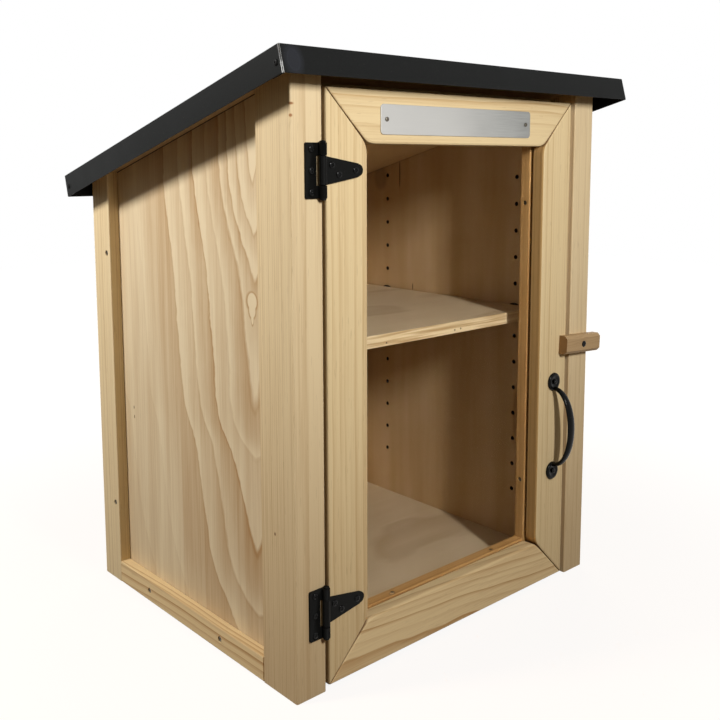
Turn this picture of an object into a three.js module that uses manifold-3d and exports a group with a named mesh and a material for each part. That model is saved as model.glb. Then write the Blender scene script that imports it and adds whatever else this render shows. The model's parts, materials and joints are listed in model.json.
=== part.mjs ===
// A street book exchange box: a pine and plywood cabinet with a sloping sheet-metal roof,
// a mitred door with a clear pane, a loose shelf on four pins, and a turn button that keeps
// the door shut. Millimetres. X runs to the right, Y to the back, Z up. The origin lies under
// the middle of the body, on the ground.
import * as THREE from 'three';
import { mergeVertices } from 'three/addons/utils/BufferGeometryUtils.js';
import Module from 'manifold-3d';

// Body
const bodyWidth = 511;
const bodyDepth = 436;
const postTopHeight = 663.5; // where the roof board's underside meets the front face
const roofSlopeDegrees = 15;
const jointGap = 0.3; // glue line or clearance between neighbouring pieces
const seatGap = 0.2; // under screw heads and surface fittings
const cutOverrun = 20; // how far a cutting shape runs past what it cuts

// Posts, trims and panels
const postWidth = 40;
const postDepth = 60.5;
const trimDepth = 44;
const trimThickness = 15;
const bottomTrimHeight = 28.5;
const panelThickness = 15;
const floorThickness = 18;
const lumberEase = 2;
const trimEase = 1.2;
const stopDepth = 21.5; // front to back, of the header and sill that stop the door
const headerDrop = 70; // from the roof plane at the front down to the header's underside

// Shelf pin holes
const pinHolePitch = 38.1;
const pinHoleRadius = 3.2;
const pinHoleDepth = 10;
const lowestPinHole = 92;
const pinHoleHeadroom = 12; // kept between the top row and the roof board
const frontPinHoleInset = 42.6; // behind the posts
const rearPinHoleInset = 52; // in front of the back panel

// Roof
const roofBoardThickness = 9;
const sheetThickness = 0.9;
const capBendRadius = 1.2;
const capFlangeHeight = 28.7;
const capSideOverhang = 31.5;
const capFrontOverhang = 27.1; // along the slope, ahead of the front face
const capRearOverhang = 13;
const cornerSlit = 2.2;
const cornerTabLength = 18;
const rivetSetback = 8;
const rivetDrop = 16.5;

// Shelf and its supports
const shelfThickness = 15;
const shelfRow = 7; // counted from the lowest hole
const shelfFrontGap = 4;
const shelfRearGap = 4;
const supportPlateThickness = 2.5;
const supportPlateWidth = 20;
const supportPlateRise = 2.6; // above the shelf's top
const supportPlateRadius = 7;
const supportPinShort = 1; // by which the pin stops short of the hole's floor
const supportDrop = 7.6; // from the pin's axis down to the ledge's top
const supportLedgeThickness = 3;
const supportLedgeReach = 12;
const supportLedgeWidth = 16;
const shelfEndGap = 0.6;

// Door
const doorGapLeft = 5; // to the left post
const doorGapRight = 8.4; // to the right post
const doorBottom = 4.5;
const doorTopDrop = 17.1; // from the roof plane at the front down to the door's top edge
const doorThickness = 38;
const doorBackGap = 1;
const memberWidth = 57;
const memberEase = 2.6;
const innerCornerCut = 11; // how far a member's rounded inner corner reaches along its edges
const frontLipThickness = 16.5;
const rabbetWidth = 10;
const paneThickness = 4.8;
const paneEdgeGap = 1;
const beadBackSetback = 1;
const beadEase = 1.5;

// Tee hinges
const upperHingeInset = 84.4; // from the door's top edge
const lowerHingeInset = 87.9; // from the door's bottom edge
const hingeAxisInset = 3; // from the post's inner edge to the pin's axis
const hingeAxisY = -4.6;
const knuckleRadius = 4.2;
const hingePinRadius = 2.4;
const hingePinHeadRadius = 3.4;
const hingePinHeadHeight = 2;
const barrelLength = 56.4;
const middleKnuckleLength = 29.6;
const knuckleGap = 0.4;
const hingeSheet = 2;
const leafHeight = 56;
const leafReach = 20.5; // from the pin's axis to the leaf's outer edge
const leafNotchReach = 6.2;
const leafScrewReach = 12.8;
const leafScrewSpread = 21.7;
const strapShoulderReach = 50.5;
const strapShoulderHalf = 7;
const strapTipRadius = 6.4;
const strapTipReach = 56.4;
const strapScrewPlaces = { root: [13.8, 5.5], middle: [23.4, -4.2], tip: [46.2, 0] };

// Pull handle
const handleInset = 26.7; // from the door's right edge
const handleHeight = 217.7;
const handlePadSpacing = 122.4;
const handlePadRadius = 12;
const handlePadThickness = 3.6;
const handlePadCrown = 1.4;
const handleStandoff = 33.4;
const bowRootInset = 9; // from the pad's centre towards the middle, where the bow leaves
const bowHalfWidth = 6.6;
const bowHalfThickness = 2.9;
const bowRootShare = 0.62; // the bow's width where it leaves the pads, of its width at the middle

// Turn button
const buttonInset = 26; // from the right post's outer edge
const buttonLength = 76;
const buttonWidth = 24.5;
const buttonThickness = 13;
const buttonEase = 4; // cut off its two long front edges
const buttonTiltDegrees = 3.2; // its right end hangs lower than its left

// Name plate
const plateLength = 254.6;
const plateWidth = 32.3;
const plateDrop = 14.4; // from the door's top edge to the plate's
const plateShift = 6.5; // of the plate's middle to the left of the door's
const plateThickness = 1;
const plateCornerRadius = 4.5;
const plateScrewInset = 9;

// Screws and rivets: head radius, head height, shank radius and length under the head
const hingeScrew = { head: 3.6, rise: 1.3, shank: 1.9, length: 19 };
const handleScrew = { head: 3.4, rise: 1.3, shank: 1.9, length: 22 };
const plateScrew = { head: 2.5, rise: 1.1, shank: 1.3, length: 12 };
const trimScrew = { head: 3.4, rise: 1, shank: 1.8, length: 24 };
const beadScrew = { head: 2.9, rise: 1, shank: 1.5, length: 18 };
const buttonScrew = { head: 4.2, rise: 1.6, shank: 2.2, length: 38 };
const capRivet = { head: 3.2, rise: 1.2, shank: 1.7, length: 3.6 };
const headSink = 1.6; // from the surface down to the underside of a sunk screw head
const headPlay = 0.4;
const headDomeShares = { radius: 0.7, rise: 0.8 }; // where a head's flat crown begins
const beadScrewInsets = { bottom: 138.5, top: 129.4, left: 122, right: 115.6 }; // from the door's edges
const bottomTrimScrewInsets = { front: 87.5, rear: 78 }; // from the post and from the rear trim
const rearTrimScrewInsets = { foot: 110, head: 106.5 }; // from the trim's two ends
const trimScrewInset = 9; // from the rear trim's front edge

// The middle of a cubic curve takes this share of its end points and the rest of its handles
const cubicEndShare = 1 / 4;

// Facets
const roundFacets = 16;
const boreFacets = 12;
const screwFacets = 10;
const easeFacets = 2;
const cornerFacets = 5;
const bowSteps = 22;
const bowFacets = 10;

// Sizes that follow
const slope = THREE.MathUtils.degToRad(roofSlopeDegrees);
const wallOuter = trimThickness;
const wallInner = trimThickness + panelThickness;
const backInner = bodyDepth - panelThickness;
const rearTrimFront = bodyDepth - trimDepth;
const stopFront = doorThickness + doorBackGap;
const stopBack = stopFront + stopDepth;
const headerBottom = postTopHeight - headerDrop;
const roofBoardTop = jointGap + roofBoardThickness;
const capUnderside = roofBoardTop + jointGap;
const capTop = capUnderside + sheetThickness;
const capLength = bodyDepth / Math.cos(slope) + capFrontOverhang + capRearOverhang;
const capBack = capLength - capFrontOverhang;
const frontPinHoleY = postDepth + frontPinHoleInset;
const rearPinHoleY = backInner - rearPinHoleInset;
const roofOverRearPins = postTopHeight - rearPinHoleY * Math.tan(slope);
const pinHoleRows = 1 + Math.floor((roofOverRearPins - pinHoleHeadroom - lowestPinHole) / pinHolePitch);
const shelfPinHeight = lowestPinHole + shelfRow * pinHolePitch;
const shelfBottom = shelfPinHeight - supportDrop + jointGap;
const doorLeft = postWidth + doorGapLeft;
const doorRight = bodyWidth - postWidth - doorGapRight;
const doorWidth = doorRight - doorLeft;
const doorTop = postTopHeight - doorTopDrop;
const doorHeight = doorTop - doorBottom;
const paneFront = frontLipThickness + jointGap;
const beadFront = paneFront + paneThickness + jointGap;
const beadBack = doorThickness - beadBackSetback;
const beadMiddleY = (beadFront + beadBack) / 2;
const memberInner = memberWidth - rabbetWidth;
const hingeAxisX = postWidth - hingeAxisInset;
const hingeHeights = { upper: doorTop - upperHingeInset, lower: doorBottom + lowerHingeInset };
const handleX = doorRight - handleInset;
const buttonX = bodyWidth - buttonInset;
const buttonHeight = (doorBottom + doorTop) / 2;
const plateBottom = doorTop - plateDrop - plateWidth;
const plateLeft = (doorLeft + doorRight - plateLength) / 2 - plateShift;

// Materials

function finish(color, roughness, metalness = 0) {
  return new THREE.MeshStandardMaterial({ color, roughness, metalness });
}

const finishes = {
  pine: () => finish(0xdec79b, 0.72),
  plywood: () => finish(0xd8b98a, 0.75),
  innerPlywood: () => finish(0xc3a077, 0.78),
  paleButton: () => finish(0xc2a277, 0.7),
  blackSheet: () => finish(0x2c2c2a, 0.42, 0.5),
  blackIron: () => finish(0x17181a, 0.38, 0.6),
  brushedPlate: () => finish(0xbfc1c3, 0.4, 0.85),
  steel: () => finish(0x8f8f90, 0.35, 0.9),
  darkPlastic: () => finish(0x2f2a2c, 0.5),
  clearPane: () => {
    const pane = finish(0xeef3f2, 0.05);
    pane.transparent = true;
    pane.opacity = 0.25;
    return pane;
  },
};

// Solids

const wasm = await Module();
wasm.setup();

function solidOf(geometry) {
  const bare = geometry.clone();
  bare.deleteAttribute('normal');
  bare.deleteAttribute('uv');
  const merged = mergeVertices(bare);
  const vertProperties = merged.getAttribute('position').array;
  const triVerts = new Uint32Array(merged.getIndex().array);
  return new wasm.Manifold(new wasm.Mesh({ numProp: 3, vertProperties, triVerts }));
}

function geometryOf(solid) {
  const mesh = solid.getMesh();
  const geometry = new THREE.BufferGeometry();
  const positions = new Float32Array(mesh.vertProperties);
  geometry.setAttribute('position', new THREE.BufferAttribute(positions, mesh.numProp));
  geometry.setIndex(new THREE.BufferAttribute(new Uint32Array(mesh.triVerts), 1));
  const faceted = geometry.toNonIndexed();
  faceted.computeVertexNormals();
  return faceted;
}

function joined(first, ...others) {
  return others.reduce((whole, other) => whole.add(other), first);
}

function cut(solid, ...tools) {
  return tools.reduce((rest, tool) => rest.subtract(tool), solid);
}

// A plain block between two values along each axis.
function block([x0, x1], [y0, y1], [z0, z1]) {
  const geometry = new THREE.BoxGeometry(x1 - x0, y1 - y0, z1 - z0);
  geometry.translate((x0 + x1) / 2, (y0 + y1) / 2, (z0 + z1) / 2);
  return solidOf(geometry);
}

// The turns that lay an outline drawn in a shape's own plane into the part's axes.
const layings = {
  x: new THREE.Matrix4().makeBasis(
    new THREE.Vector3(0, 1, 0), new THREE.Vector3(0, 0, 1), new THREE.Vector3(1, 0, 0)),
  y: new THREE.Matrix4().makeBasis(
    new THREE.Vector3(0, 0, 1), new THREE.Vector3(1, 0, 0), new THREE.Vector3(0, 1, 0)),
  z: new THREE.Matrix4(),
};

// A prism along an axis. The outline is drawn in (y, z) for x, in (z, x) for y and in (x, y) for z.
function prism(axis, shape, [low, high], curveSegments = easeFacets) {
  const depth = high - low;
  const geometry = new THREE.ExtrudeGeometry(shape, { depth, bevelEnabled: false, curveSegments });
  geometry.translate(0, 0, low);
  geometry.applyMatrix4(layings[axis]);
  return solidOf(geometry);
}

function roundedRectangle([a0, a1], [b0, b1], radius) {
  const shape = new THREE.Shape();
  shape.moveTo(a0 + radius, b0);
  shape.lineTo(a1 - radius, b0);
  shape.absarc(a1 - radius, b0 + radius, radius, -Math.PI / 2, 0, false);
  shape.lineTo(a1, b1 - radius);
  shape.absarc(a1 - radius, b1 - radius, radius, 0, Math.PI / 2, false);
  shape.lineTo(a0 + radius, b1);
  shape.absarc(a0 + radius, b1 - radius, radius, Math.PI / 2, Math.PI, false);
  shape.lineTo(a0, b0 + radius);
  shape.absarc(a0 + radius, b0 + radius, radius, Math.PI, Math.PI * 3 / 2, false);
  return shape;
}

function polygon(points) {
  return new THREE.Shape(points.map(([a, b]) => new THREE.Vector2(a, b)));
}

const rodTurns = {
  x: new THREE.Matrix4().makeRotationZ(-Math.PI / 2),
  y: new THREE.Matrix4(),
  z: new THREE.Matrix4().makeRotationX(Math.PI / 2),
};

// A round bar along an axis, centred on a point, between two values along that axis.
function rod(axis, radius, [low, high], [x, y, z], facets = boreFacets) {
  const geometry = new THREE.CylinderGeometry(radius, radius, high - low, facets);
  geometry.applyMatrix4(rodTurns[axis]);
  const middle = (low + high) / 2;
  const centre = { x: [middle, y, z], y: [x, middle, z], z: [x, y, middle] }[axis];
  geometry.translate(...centre);
  return solidOf(geometry);
}

// A screw or rivet whose head faces -Y and whose underside lies in the plane Y = 0.
function screwGeometry({ head, rise, shank, length }) {
  const crownRadius = head * headDomeShares.radius;
  const crownRise = rise * headDomeShares.rise;
  const pointStart = length - shank;
  const profile = [
    [0, -rise], [crownRadius, -crownRise], [head, 0], [shank, 0], [shank, pointStart], [0, length],
  ];
  const points = profile.map(([radius, along]) => new THREE.Vector2(radius, along));
  return new THREE.LatheGeometry(points, screwFacets);
}

const screwTurns = {
  front: new THREE.Matrix4(),
  left: new THREE.Matrix4().makeRotationZ(-Math.PI / 2),
  right: new THREE.Matrix4().makeRotationZ(Math.PI / 2),
  up: new THREE.Matrix4().makeRotationX(-Math.PI / 2),
  down: new THREE.Matrix4().makeRotationX(Math.PI / 2),
};

// Like screws, one to a place: each place has its name, its point and the way its head faces.
function screwMeshes(kind, places, material) {
  return places.map(({ name, at, facing }) => {
    const geometry = screwGeometry(kind);
    geometry.applyMatrix4(screwTurns[facing]);
    const screw = namedMesh(name, geometryOf(solidOf(geometry)), material());
    screw.position.set(...at);
    return screw;
  });
}

// The hole that a screw's shank runs in, and the wider hole that its sunk head lies in.
function screwHole({ head, rise, shank, length }, { at, facing }, sunk = false) {
  const clear = shank + jointGap;
  const bore = new THREE.CylinderGeometry(clear, clear, length + jointGap + rise, screwFacets);
  bore.translate(0, (length + jointGap - rise) / 2, 0);
  const tools = [bore];
  if (sunk) {
    const wide = head + headPlay;
    const depth = cutOverrun + seatGap;
    const well = new THREE.CylinderGeometry(wide, wide, depth, screwFacets);
    well.translate(0, seatGap - depth / 2, 0);
    tools.push(well);
  }
  const solids = tools.map((tool) => {
    tool.applyMatrix4(screwTurns[facing]);
    tool.translate(...at);
    return solidOf(tool);
  });
  return joined(...solids);
}

function namedMesh(name, geometry, material) {
  const mesh = new THREE.Mesh(geometry, material);
  mesh.name = name;
  return mesh;
}

function meshOf(name, solid, material) {
  return namedMesh(name, geometryOf(solid), material);
}

// The same piece on the other side of the body.
function mirrored(geometry) {
  const copy = geometry.clone();
  const positions = copy.getAttribute('position');
  for (let i = 0; i < positions.count; i += 3) {
    const corners = [i, i + 2, i + 1].map((k) => new THREE.Vector3().fromBufferAttribute(positions, k));
    corners.forEach((corner, k) => positions.setXYZ(i + k, bodyWidth - corner.x, corner.y, corner.z));
  }
  copy.computeVertexNormals();
  return copy;
}

// Everything above the plane that the roof board lies on.
function aboveRoofPlane() {
  const reach = bodyDepth + cutOverrun;
  const drop = reach * Math.tan(slope);
  const rise = cutOverrun * Math.tan(slope);
  const ceiling = postTopHeight + rise + cutOverrun;
  const outline = polygon([
    [-cutOverrun, postTopHeight + rise], [reach, postTopHeight - drop],
    [reach, ceiling], [-cutOverrun, ceiling],
  ]);
  return prism('x', outline, [-cutOverrun, bodyWidth + cutOverrun]);
}

function underRoof(solid) {
  return cut(solid, aboveRoofPlane());
}

// Hinge, handle, plate and button screws, as places in the cabinet's frame

const leafFaceY = -seatGap - hingeSheet - seatGap;
const leafScrewOffsets = { top: leafScrewSpread, middle: 0, bottom: -leafScrewSpread };

function leafScrewPlaces() {
  return Object.entries(hingeHeights).flatMap(([level, height]) => (
    Object.entries(leafScrewOffsets).map(([place, offset]) => ({
      name: `hinge_leaf_screw_${level}_${place}`,
      at: [hingeAxisX - leafScrewReach, leafFaceY, height + offset],
      facing: 'front',
    }))
  ));
}

function strapScrews() {
  return Object.entries(hingeHeights).flatMap(([level, height]) => (
    Object.entries(strapScrewPlaces).map(([place, [reach, offset]]) => ({
      name: `hinge_strap_screw_${level}_${place}`,
      at: [hingeAxisX + reach, leafFaceY, height + offset],
      facing: 'front',
    }))
  ));
}

function handleScrewPlaces() {
  return Object.entries({ upper: 1, lower: -1 }).map(([level, sign]) => ({
    name: `handle_screw_${level}`,
    at: [handleX, -seatGap - handlePadThickness - seatGap, handleHeight + sign * handlePadSpacing / 2],
    facing: 'front',
  }));
}

function plateScrewPlaces() {
  const height = plateBottom + plateWidth / 2;
  const faceY = -seatGap - plateThickness - seatGap;
  const insets = { left: plateScrewInset, right: plateLength - plateScrewInset };
  return Object.entries(insets).map(([side, inset]) => (
    { name: `name_plate_screw_${side}`, at: [plateLeft + inset, faceY, height], facing: 'front' }
  ));
}

function buttonScrewPlace() {
  const faceY = -seatGap - buttonThickness - seatGap;
  return { name: 'turn_button_screw', at: [buttonX, faceY, buttonHeight], facing: 'front' };
}

function bottomTrimScrews() {
  const height = bottomTrimHeight / 2;
  const places = [postDepth + bottomTrimScrewInsets.front, rearTrimFront - bottomTrimScrewInsets.rear];
  return places.map((along) => ({ at: [headSink, along, height], facing: 'left' }));
}

function rearTrimScrews() {
  const along = rearTrimFront + trimScrewInset;
  const top = postTopHeight - rearTrimFront * Math.tan(slope);
  const heights = [rearTrimScrewInsets.foot, top - rearTrimScrewInsets.head];
  return heights.map((height) => ({ at: [headSink, along, height], facing: 'left' }));
}

// Cabinet

function postSolid() {
  const outline = roundedRectangle([0, postWidth], [0, postDepth], lumberEase);
  return underRoof(prism('z', outline, [0, postTopHeight + cutOverrun]));
}

function rearTrimSolid() {
  const outline = roundedRectangle([0, trimThickness - jointGap], [rearTrimFront, bodyDepth], trimEase);
  const blank = underRoof(prism('z', outline, [0, postTopHeight]));
  return cut(blank, ...rearTrimScrews().map((place) => screwHole(trimScrew, place, true)));
}

function bottomTrimSolid() {
  const outline = roundedRectangle([0, bottomTrimHeight], [0, trimThickness - jointGap], trimEase);
  const blank = prism('y', outline, [postDepth + jointGap, rearTrimFront - jointGap]);
  return cut(blank, ...bottomTrimScrews().map((place) => screwHole(trimScrew, place, true)));
}

// A side panel in plywood with two columns of blind holes for shelf pins on its inner face.
function sidePanelSolid() {
  const panel = underRoof(block(
    [wallOuter, wallInner], [postDepth + jointGap, backInner - jointGap], [0, postTopHeight]));
  const holes = [frontPinHoleY, rearPinHoleY].flatMap((along) => (
    Array.from({ length: pinHoleRows }, (_, row) => rod(
      'x', pinHoleRadius, [wallInner - pinHoleDepth, wallInner + cutOverrun],
      [0, along, lowestPinHole + row * pinHolePitch]))
  ));
  const screws = [...bottomTrimScrews(), ...rearTrimScrews()];
  return cut(panel, ...holes, ...screws.map((place) => screwHole(trimScrew, place)));
}

function cabinetPieces() {
  const { pine, plywood, innerPlywood } = finishes;
  const leftPost = cut(postSolid(), ...leafScrewPlaces().map((place) => screwHole(hingeScrew, place)));
  const rightPost = cut(
    solidOf(mirrored(geometryOf(postSolid()))), screwHole(buttonScrew, buttonScrewPlace()));
  const rearTrim = geometryOf(rearTrimSolid());
  const bottomTrim = geometryOf(bottomTrimSolid());
  const sidePanel = geometryOf(sidePanelSolid());

  const backPanel = underRoof(block(
    [wallOuter, bodyWidth - wallOuter], [backInner, bodyDepth], [0, postTopHeight]));
  const betweenWalls = [wallInner + jointGap, bodyWidth - wallInner - jointGap];
  const betweenPosts = [postWidth + jointGap, bodyWidth - postWidth - jointGap];
  const floorPanel = block(betweenWalls, [stopBack + jointGap, backInner - jointGap], [0, floorThickness]);
  const frontSill = block(betweenPosts, [stopFront, stopBack], [0, floorThickness]);
  const frontHeader = underRoof(block(betweenPosts, [stopFront, stopBack], [headerBottom, postTopHeight]));

  return [
    meshOf('front_post_left', leftPost, pine()),
    meshOf('front_post_right', rightPost, pine()),
    namedMesh('rear_trim_left', rearTrim, pine()),
    namedMesh('rear_trim_right', mirrored(rearTrim), pine()),
    namedMesh('bottom_trim_left', bottomTrim, pine()),
    namedMesh('bottom_trim_right', mirrored(bottomTrim), pine()),
    namedMesh('side_panel_left', sidePanel, plywood()),
    namedMesh('side_panel_right', mirrored(sidePanel), plywood()),
    meshOf('back_panel', backPanel, innerPlywood()),
    meshOf('floor_panel', floorPanel, innerPlywood()),
    meshOf('front_sill', frontSill, pine()),
    meshOf('front_header', frontHeader, pine()),
  ];
}

// Roof, in a frame turned down to the back: X as before, Y along the slope, Z square to it

// The section of the folded cap: a top and two flanges with rounded bends.
function capSection([low, high]) {
  const bottom = capTop - capFlangeHeight;
  const inner = sheetThickness;
  const shape = new THREE.Shape();
  shape.moveTo(low, bottom);
  shape.lineTo(low + inner, bottom);
  shape.lineTo(low + inner, capUnderside);
  shape.lineTo(high - inner, capUnderside);
  shape.lineTo(high - inner, bottom);
  shape.lineTo(high, bottom);
  shape.lineTo(high, capTop - capBendRadius);
  shape.absarc(high - capBendRadius, capTop - capBendRadius, capBendRadius, 0, Math.PI / 2, false);
  shape.lineTo(low + capBendRadius, capTop);
  shape.absarc(low + capBendRadius, capTop - capBendRadius, capBendRadius, Math.PI / 2, Math.PI, false);
  shape.lineTo(low, bottom);
  return shape;
}

const capSides = [-capSideOverhang, bodyWidth + capSideOverhang];
const capEnds = [-capFrontOverhang, capBack];

// The section of the side flanges is drawn in (z, x), so its two axes change places.
function capSectionAcross() {
  const points = capSection(capSides).getPoints(easeFacets);
  return new THREE.Shape(points.map((point) => new THREE.Vector2(point.y, point.x)).reverse());
}

function rivetPlaces() {
  const along = { front: capEnds[0] + rivetSetback, rear: capEnds[1] - rivetSetback };
  const height = capTop - rivetDrop;
  return Object.entries(along).flatMap(([end, y]) => [
    { name: `roof_cap_rivet_${end}_left`, at: [capSides[0] - seatGap, y, height], facing: 'left' },
    { name: `roof_cap_rivet_${end}_right`, at: [capSides[1] + seatGap, y, height], facing: 'right' },
  ]);
}

// A tab folded back from the front or rear flange, lying inside a side flange.
function cornerTab(side, end) {
  const inwardX = side === 0 ? 1 : -1;
  const inwardY = end === 0 ? 1 : -1;
  const outerX = capSides[side] + inwardX * sheetThickness;
  const outerY = capEnds[end] + inwardY * sheetThickness / 2;
  const span = (a, b) => [Math.min(a, b), Math.max(a, b)];
  return block(
    span(outerX, outerX + inwardX * sheetThickness),
    span(outerY, outerY + inwardY * cornerTabLength),
    [capTop - capFlangeHeight, -jointGap]);
}

function roofPieces() {
  const alongSlope = prism('x', capSection(capEnds), [capSides[0] + cornerSlit, capSides[1] - cornerSlit]);
  const acrossSlope = prism('y', capSectionAcross(), [capEnds[0] + cornerSlit, capEnds[1] - cornerSlit]);
  const tabs = [0, 1].flatMap((side) => [0, 1].map((end) => cornerTab(side, end)));
  const rivetHoles = rivetPlaces().map((place) => screwHole(capRivet, place));
  const cap = cut(joined(alongSlope, acrossSlope, ...tabs), ...rivetHoles);

  const inset = sheetThickness + jointGap;
  const board = block(
    [capSides[0] + inset, capSides[1] - inset], [capEnds[0] + inset, capEnds[1] - inset],
    [jointGap, roofBoardTop]);

  const roof = new THREE.Group();
  roof.position.set(0, 0, postTopHeight);
  roof.rotation.x = -slope;
  roof.add(
    meshOf('roof_board', board, finishes.plywood()),
    meshOf('roof_cap', cap, finishes.blackSheet()),
    ...screwMeshes(capRivet, rivetPlaces(), finishes.blackSheet),
  );
  return roof;
}

// Shelf and its supports

// A support in its own frame: the pin's axis on X, the wall's face in the plane X = 0.
function supportSolid() {
  const plateFoot = -supportDrop - supportLedgeThickness;
  const plateHead = shelfThickness - supportDrop + jointGap + supportPlateRise;
  const half = supportPlateWidth / 2;
  const outline = new THREE.Shape();
  outline.moveTo(-half, plateFoot);
  outline.lineTo(half, plateFoot);
  outline.lineTo(half, plateHead - supportPlateRadius);
  outline.quadraticCurveTo(half, plateHead, 0, plateHead);
  outline.quadraticCurveTo(-half, plateHead, -half, plateHead - supportPlateRadius);
  const plateFace = jointGap + supportPlateThickness;
  const plate = prism('x', outline, [jointGap, plateFace], boreFacets / 2);
  const ledgeHalf = supportLedgeWidth / 2;
  const ledge = block(
    [jointGap, plateFace + supportLedgeReach], [-ledgeHalf, ledgeHalf], [plateFoot, -supportDrop]);
  const pin = rod(
    'x', pinHoleRadius - jointGap, [supportPinShort - pinHoleDepth, plateFace], [0, 0, 0]);
  return joined(plate, ledge, pin);
}

function shelfPieces() {
  const edge = wallInner + jointGap + supportPlateThickness + shelfEndGap;
  const shelf = block(
    [edge, bodyWidth - edge], [stopBack + shelfFrontGap, backInner - shelfRearGap],
    [shelfBottom, shelfBottom + shelfThickness]);
  const support = geometryOf(supportSolid());
  const rows = { front: frontPinHoleY, rear: rearPinHoleY };
  const supports = Object.entries(rows).flatMap(([row, along]) => {
    const left = namedMesh(`shelf_support_${row}_left`, support, finishes.darkPlastic());
    left.position.set(wallInner, along, shelfPinHeight);
    const right = namedMesh(`shelf_support_${row}_right`, support, finishes.darkPlastic());
    right.position.set(bodyWidth - wallInner, along, shelfPinHeight);
    right.rotation.z = Math.PI;
    return [left, right];
  });
  return [meshOf('shelf', shelf, finishes.innerPlywood()), ...supports];
}

// Door, in a frame whose origin is the lower left corner of its front face

function toDoor({ at: [x, y, z], facing }) {
  return { at: [x - doorLeft, y, z - doorBottom], facing };
}

// A mitred outline with its two inner corners rounded. Its corners are the two outer ones, then
// the inner one beside the second and the inner one beside the first.
function memberOutline(corners) {
  const [first, second, beside, last] = corners.map(([z, x]) => new THREE.Vector2(z, x));
  const along = (from, to) => to.clone().sub(from).setLength(innerCornerCut).add(from);
  const shape = new THREE.Shape([first, second, along(beside, second)]);
  const innerStart = along(beside, last);
  shape.quadraticCurveTo(beside.x, beside.y, innerStart.x, innerStart.y);
  const innerEnd = along(last, beside);
  shape.lineTo(innerEnd.x, innerEnd.y);
  const mitreStart = along(last, first);
  shape.quadraticCurveTo(last.x, last.y, mitreStart.x, mitreStart.y);
  return shape;
}

// A mitred member, the whole width, eased along every long edge.
function memberBlank(corners) {
  const geometry = new THREE.ExtrudeGeometry(memberOutline(corners), {
    depth: doorThickness - memberEase * 2,
    bevelEnabled: true,
    bevelThickness: memberEase,
    bevelSize: memberEase,
    bevelOffset: -memberEase,
    bevelSegments: easeFacets,
    curveSegments: cornerFacets,
  });
  geometry.translate(0, 0, memberEase);
  geometry.applyMatrix4(layings.y);
  return solidOf(geometry);
}

// The rabbet all round the opening, behind the front lip.
function rabbetSpace() {
  return block(
    [memberInner, doorWidth - memberInner], [frontLipThickness, doorThickness + cutOverrun],
    [memberInner, doorHeight - memberInner]);
}

// Stiles and rails are drawn in (z, x), each held back from the mitre by half the joint gap.
function doorFrameSolids() {
  const shy = jointGap * Math.SQRT1_2;
  const w = memberWidth;
  const stile = [[shy, 0], [doorHeight - shy, 0], [doorHeight - w - shy, w], [w + shy, w]];
  const rail = [[0, doorWidth - shy], [0, shy], [w, w + shy], [w, doorWidth - w - shy]];
  const flipX = (points) => points.map(([z, x]) => [z, doorWidth - x]);
  const flipZ = (points) => points.map(([z, x]) => [doorHeight - z, x]);
  const space = rabbetSpace();
  return {
    door_stile_left: cut(memberBlank(stile), space),
    door_stile_right: cut(memberBlank(flipX(stile)), space),
    door_rail_bottom: cut(memberBlank(rail), space),
    door_rail_top: cut(memberBlank(flipZ(rail)), space),
  };
}

// Screws through the glazing beads: each lies across its bead, its head towards the opening.
function beadScrewSets() {
  const near = memberWidth - headSink;
  const farX = doorWidth - near;
  const farZ = doorHeight - near;
  const heights = [beadScrewInsets.bottom, doorHeight - beadScrewInsets.top];
  const places = [beadScrewInsets.left, doorWidth - beadScrewInsets.right];
  return {
    left: heights.map((z) => ({ at: [near, beadMiddleY, z], facing: 'right' })),
    right: heights.map((z) => ({ at: [farX, beadMiddleY, z], facing: 'left' })),
    bottom: places.map((x) => ({ at: [x, beadMiddleY, near], facing: 'up' })),
    top: places.map((x) => ({ at: [x, beadMiddleY, farZ], facing: 'down' })),
  };
}

function glazingBeads() {
  const wall = memberInner + jointGap;
  const face = memberWidth;
  const depth = [beadFront, beadBack];
  const acrossX = [face + jointGap, doorWidth - face - jointGap];
  const fullZ = [wall, doorHeight - wall];
  const upright = (x) => prism('z', roundedRectangle(x, depth, beadEase), fullZ);
  const level = (z) => prism('x', roundedRectangle(depth, z, beadEase), acrossX);
  return {
    left: upright([wall, face]),
    right: upright([doorWidth - face, doorWidth - wall]),
    bottom: level([wall, face]),
    top: level([doorHeight - face, doorHeight - wall]),
  };
}

function doorPieces() {
  const { pine, clearPane } = finishes;
  const frame = doorFrameSolids();
  const sets = beadScrewSets();
  const drill = (solid, kind, places) => cut(solid, ...places.map((place) => screwHole(kind, place)));
  frame.door_stile_left = drill(frame.door_stile_left, hingeScrew, strapScrews().map(toDoor));
  frame.door_stile_right = drill(frame.door_stile_right, handleScrew, handleScrewPlaces().map(toDoor));
  frame.door_rail_top = drill(frame.door_rail_top, plateScrew, plateScrewPlaces().map(toDoor));
  frame.door_stile_left = drill(frame.door_stile_left, beadScrew, sets.left);
  frame.door_stile_right = drill(frame.door_stile_right, beadScrew, sets.right);
  frame.door_rail_bottom = drill(frame.door_rail_bottom, beadScrew, sets.bottom);
  frame.door_rail_top = drill(frame.door_rail_top, beadScrew, sets.top);

  const paneInset = memberInner + paneEdgeGap;
  const pane = block(
    [paneInset, doorWidth - paneInset], [paneFront, paneFront + paneThickness],
    [paneInset, doorHeight - paneInset]);

  const beads = Object.entries(glazingBeads()).map(([side, bead]) => {
    const drilled = cut(bead, ...sets[side].map((place) => screwHole(beadScrew, place, true)));
    return meshOf(`glazing_bead_${side}`, drilled, pine());
  });

  const door = new THREE.Group();
  door.position.set(doorLeft, 0, doorBottom);
  door.add(
    ...Object.entries(frame).map(([name, solid]) => meshOf(name, solid, pine())),
    meshOf('window_pane', pane, clearPane()),
    ...beads,
  );
  return door;
}

// Name plate

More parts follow.
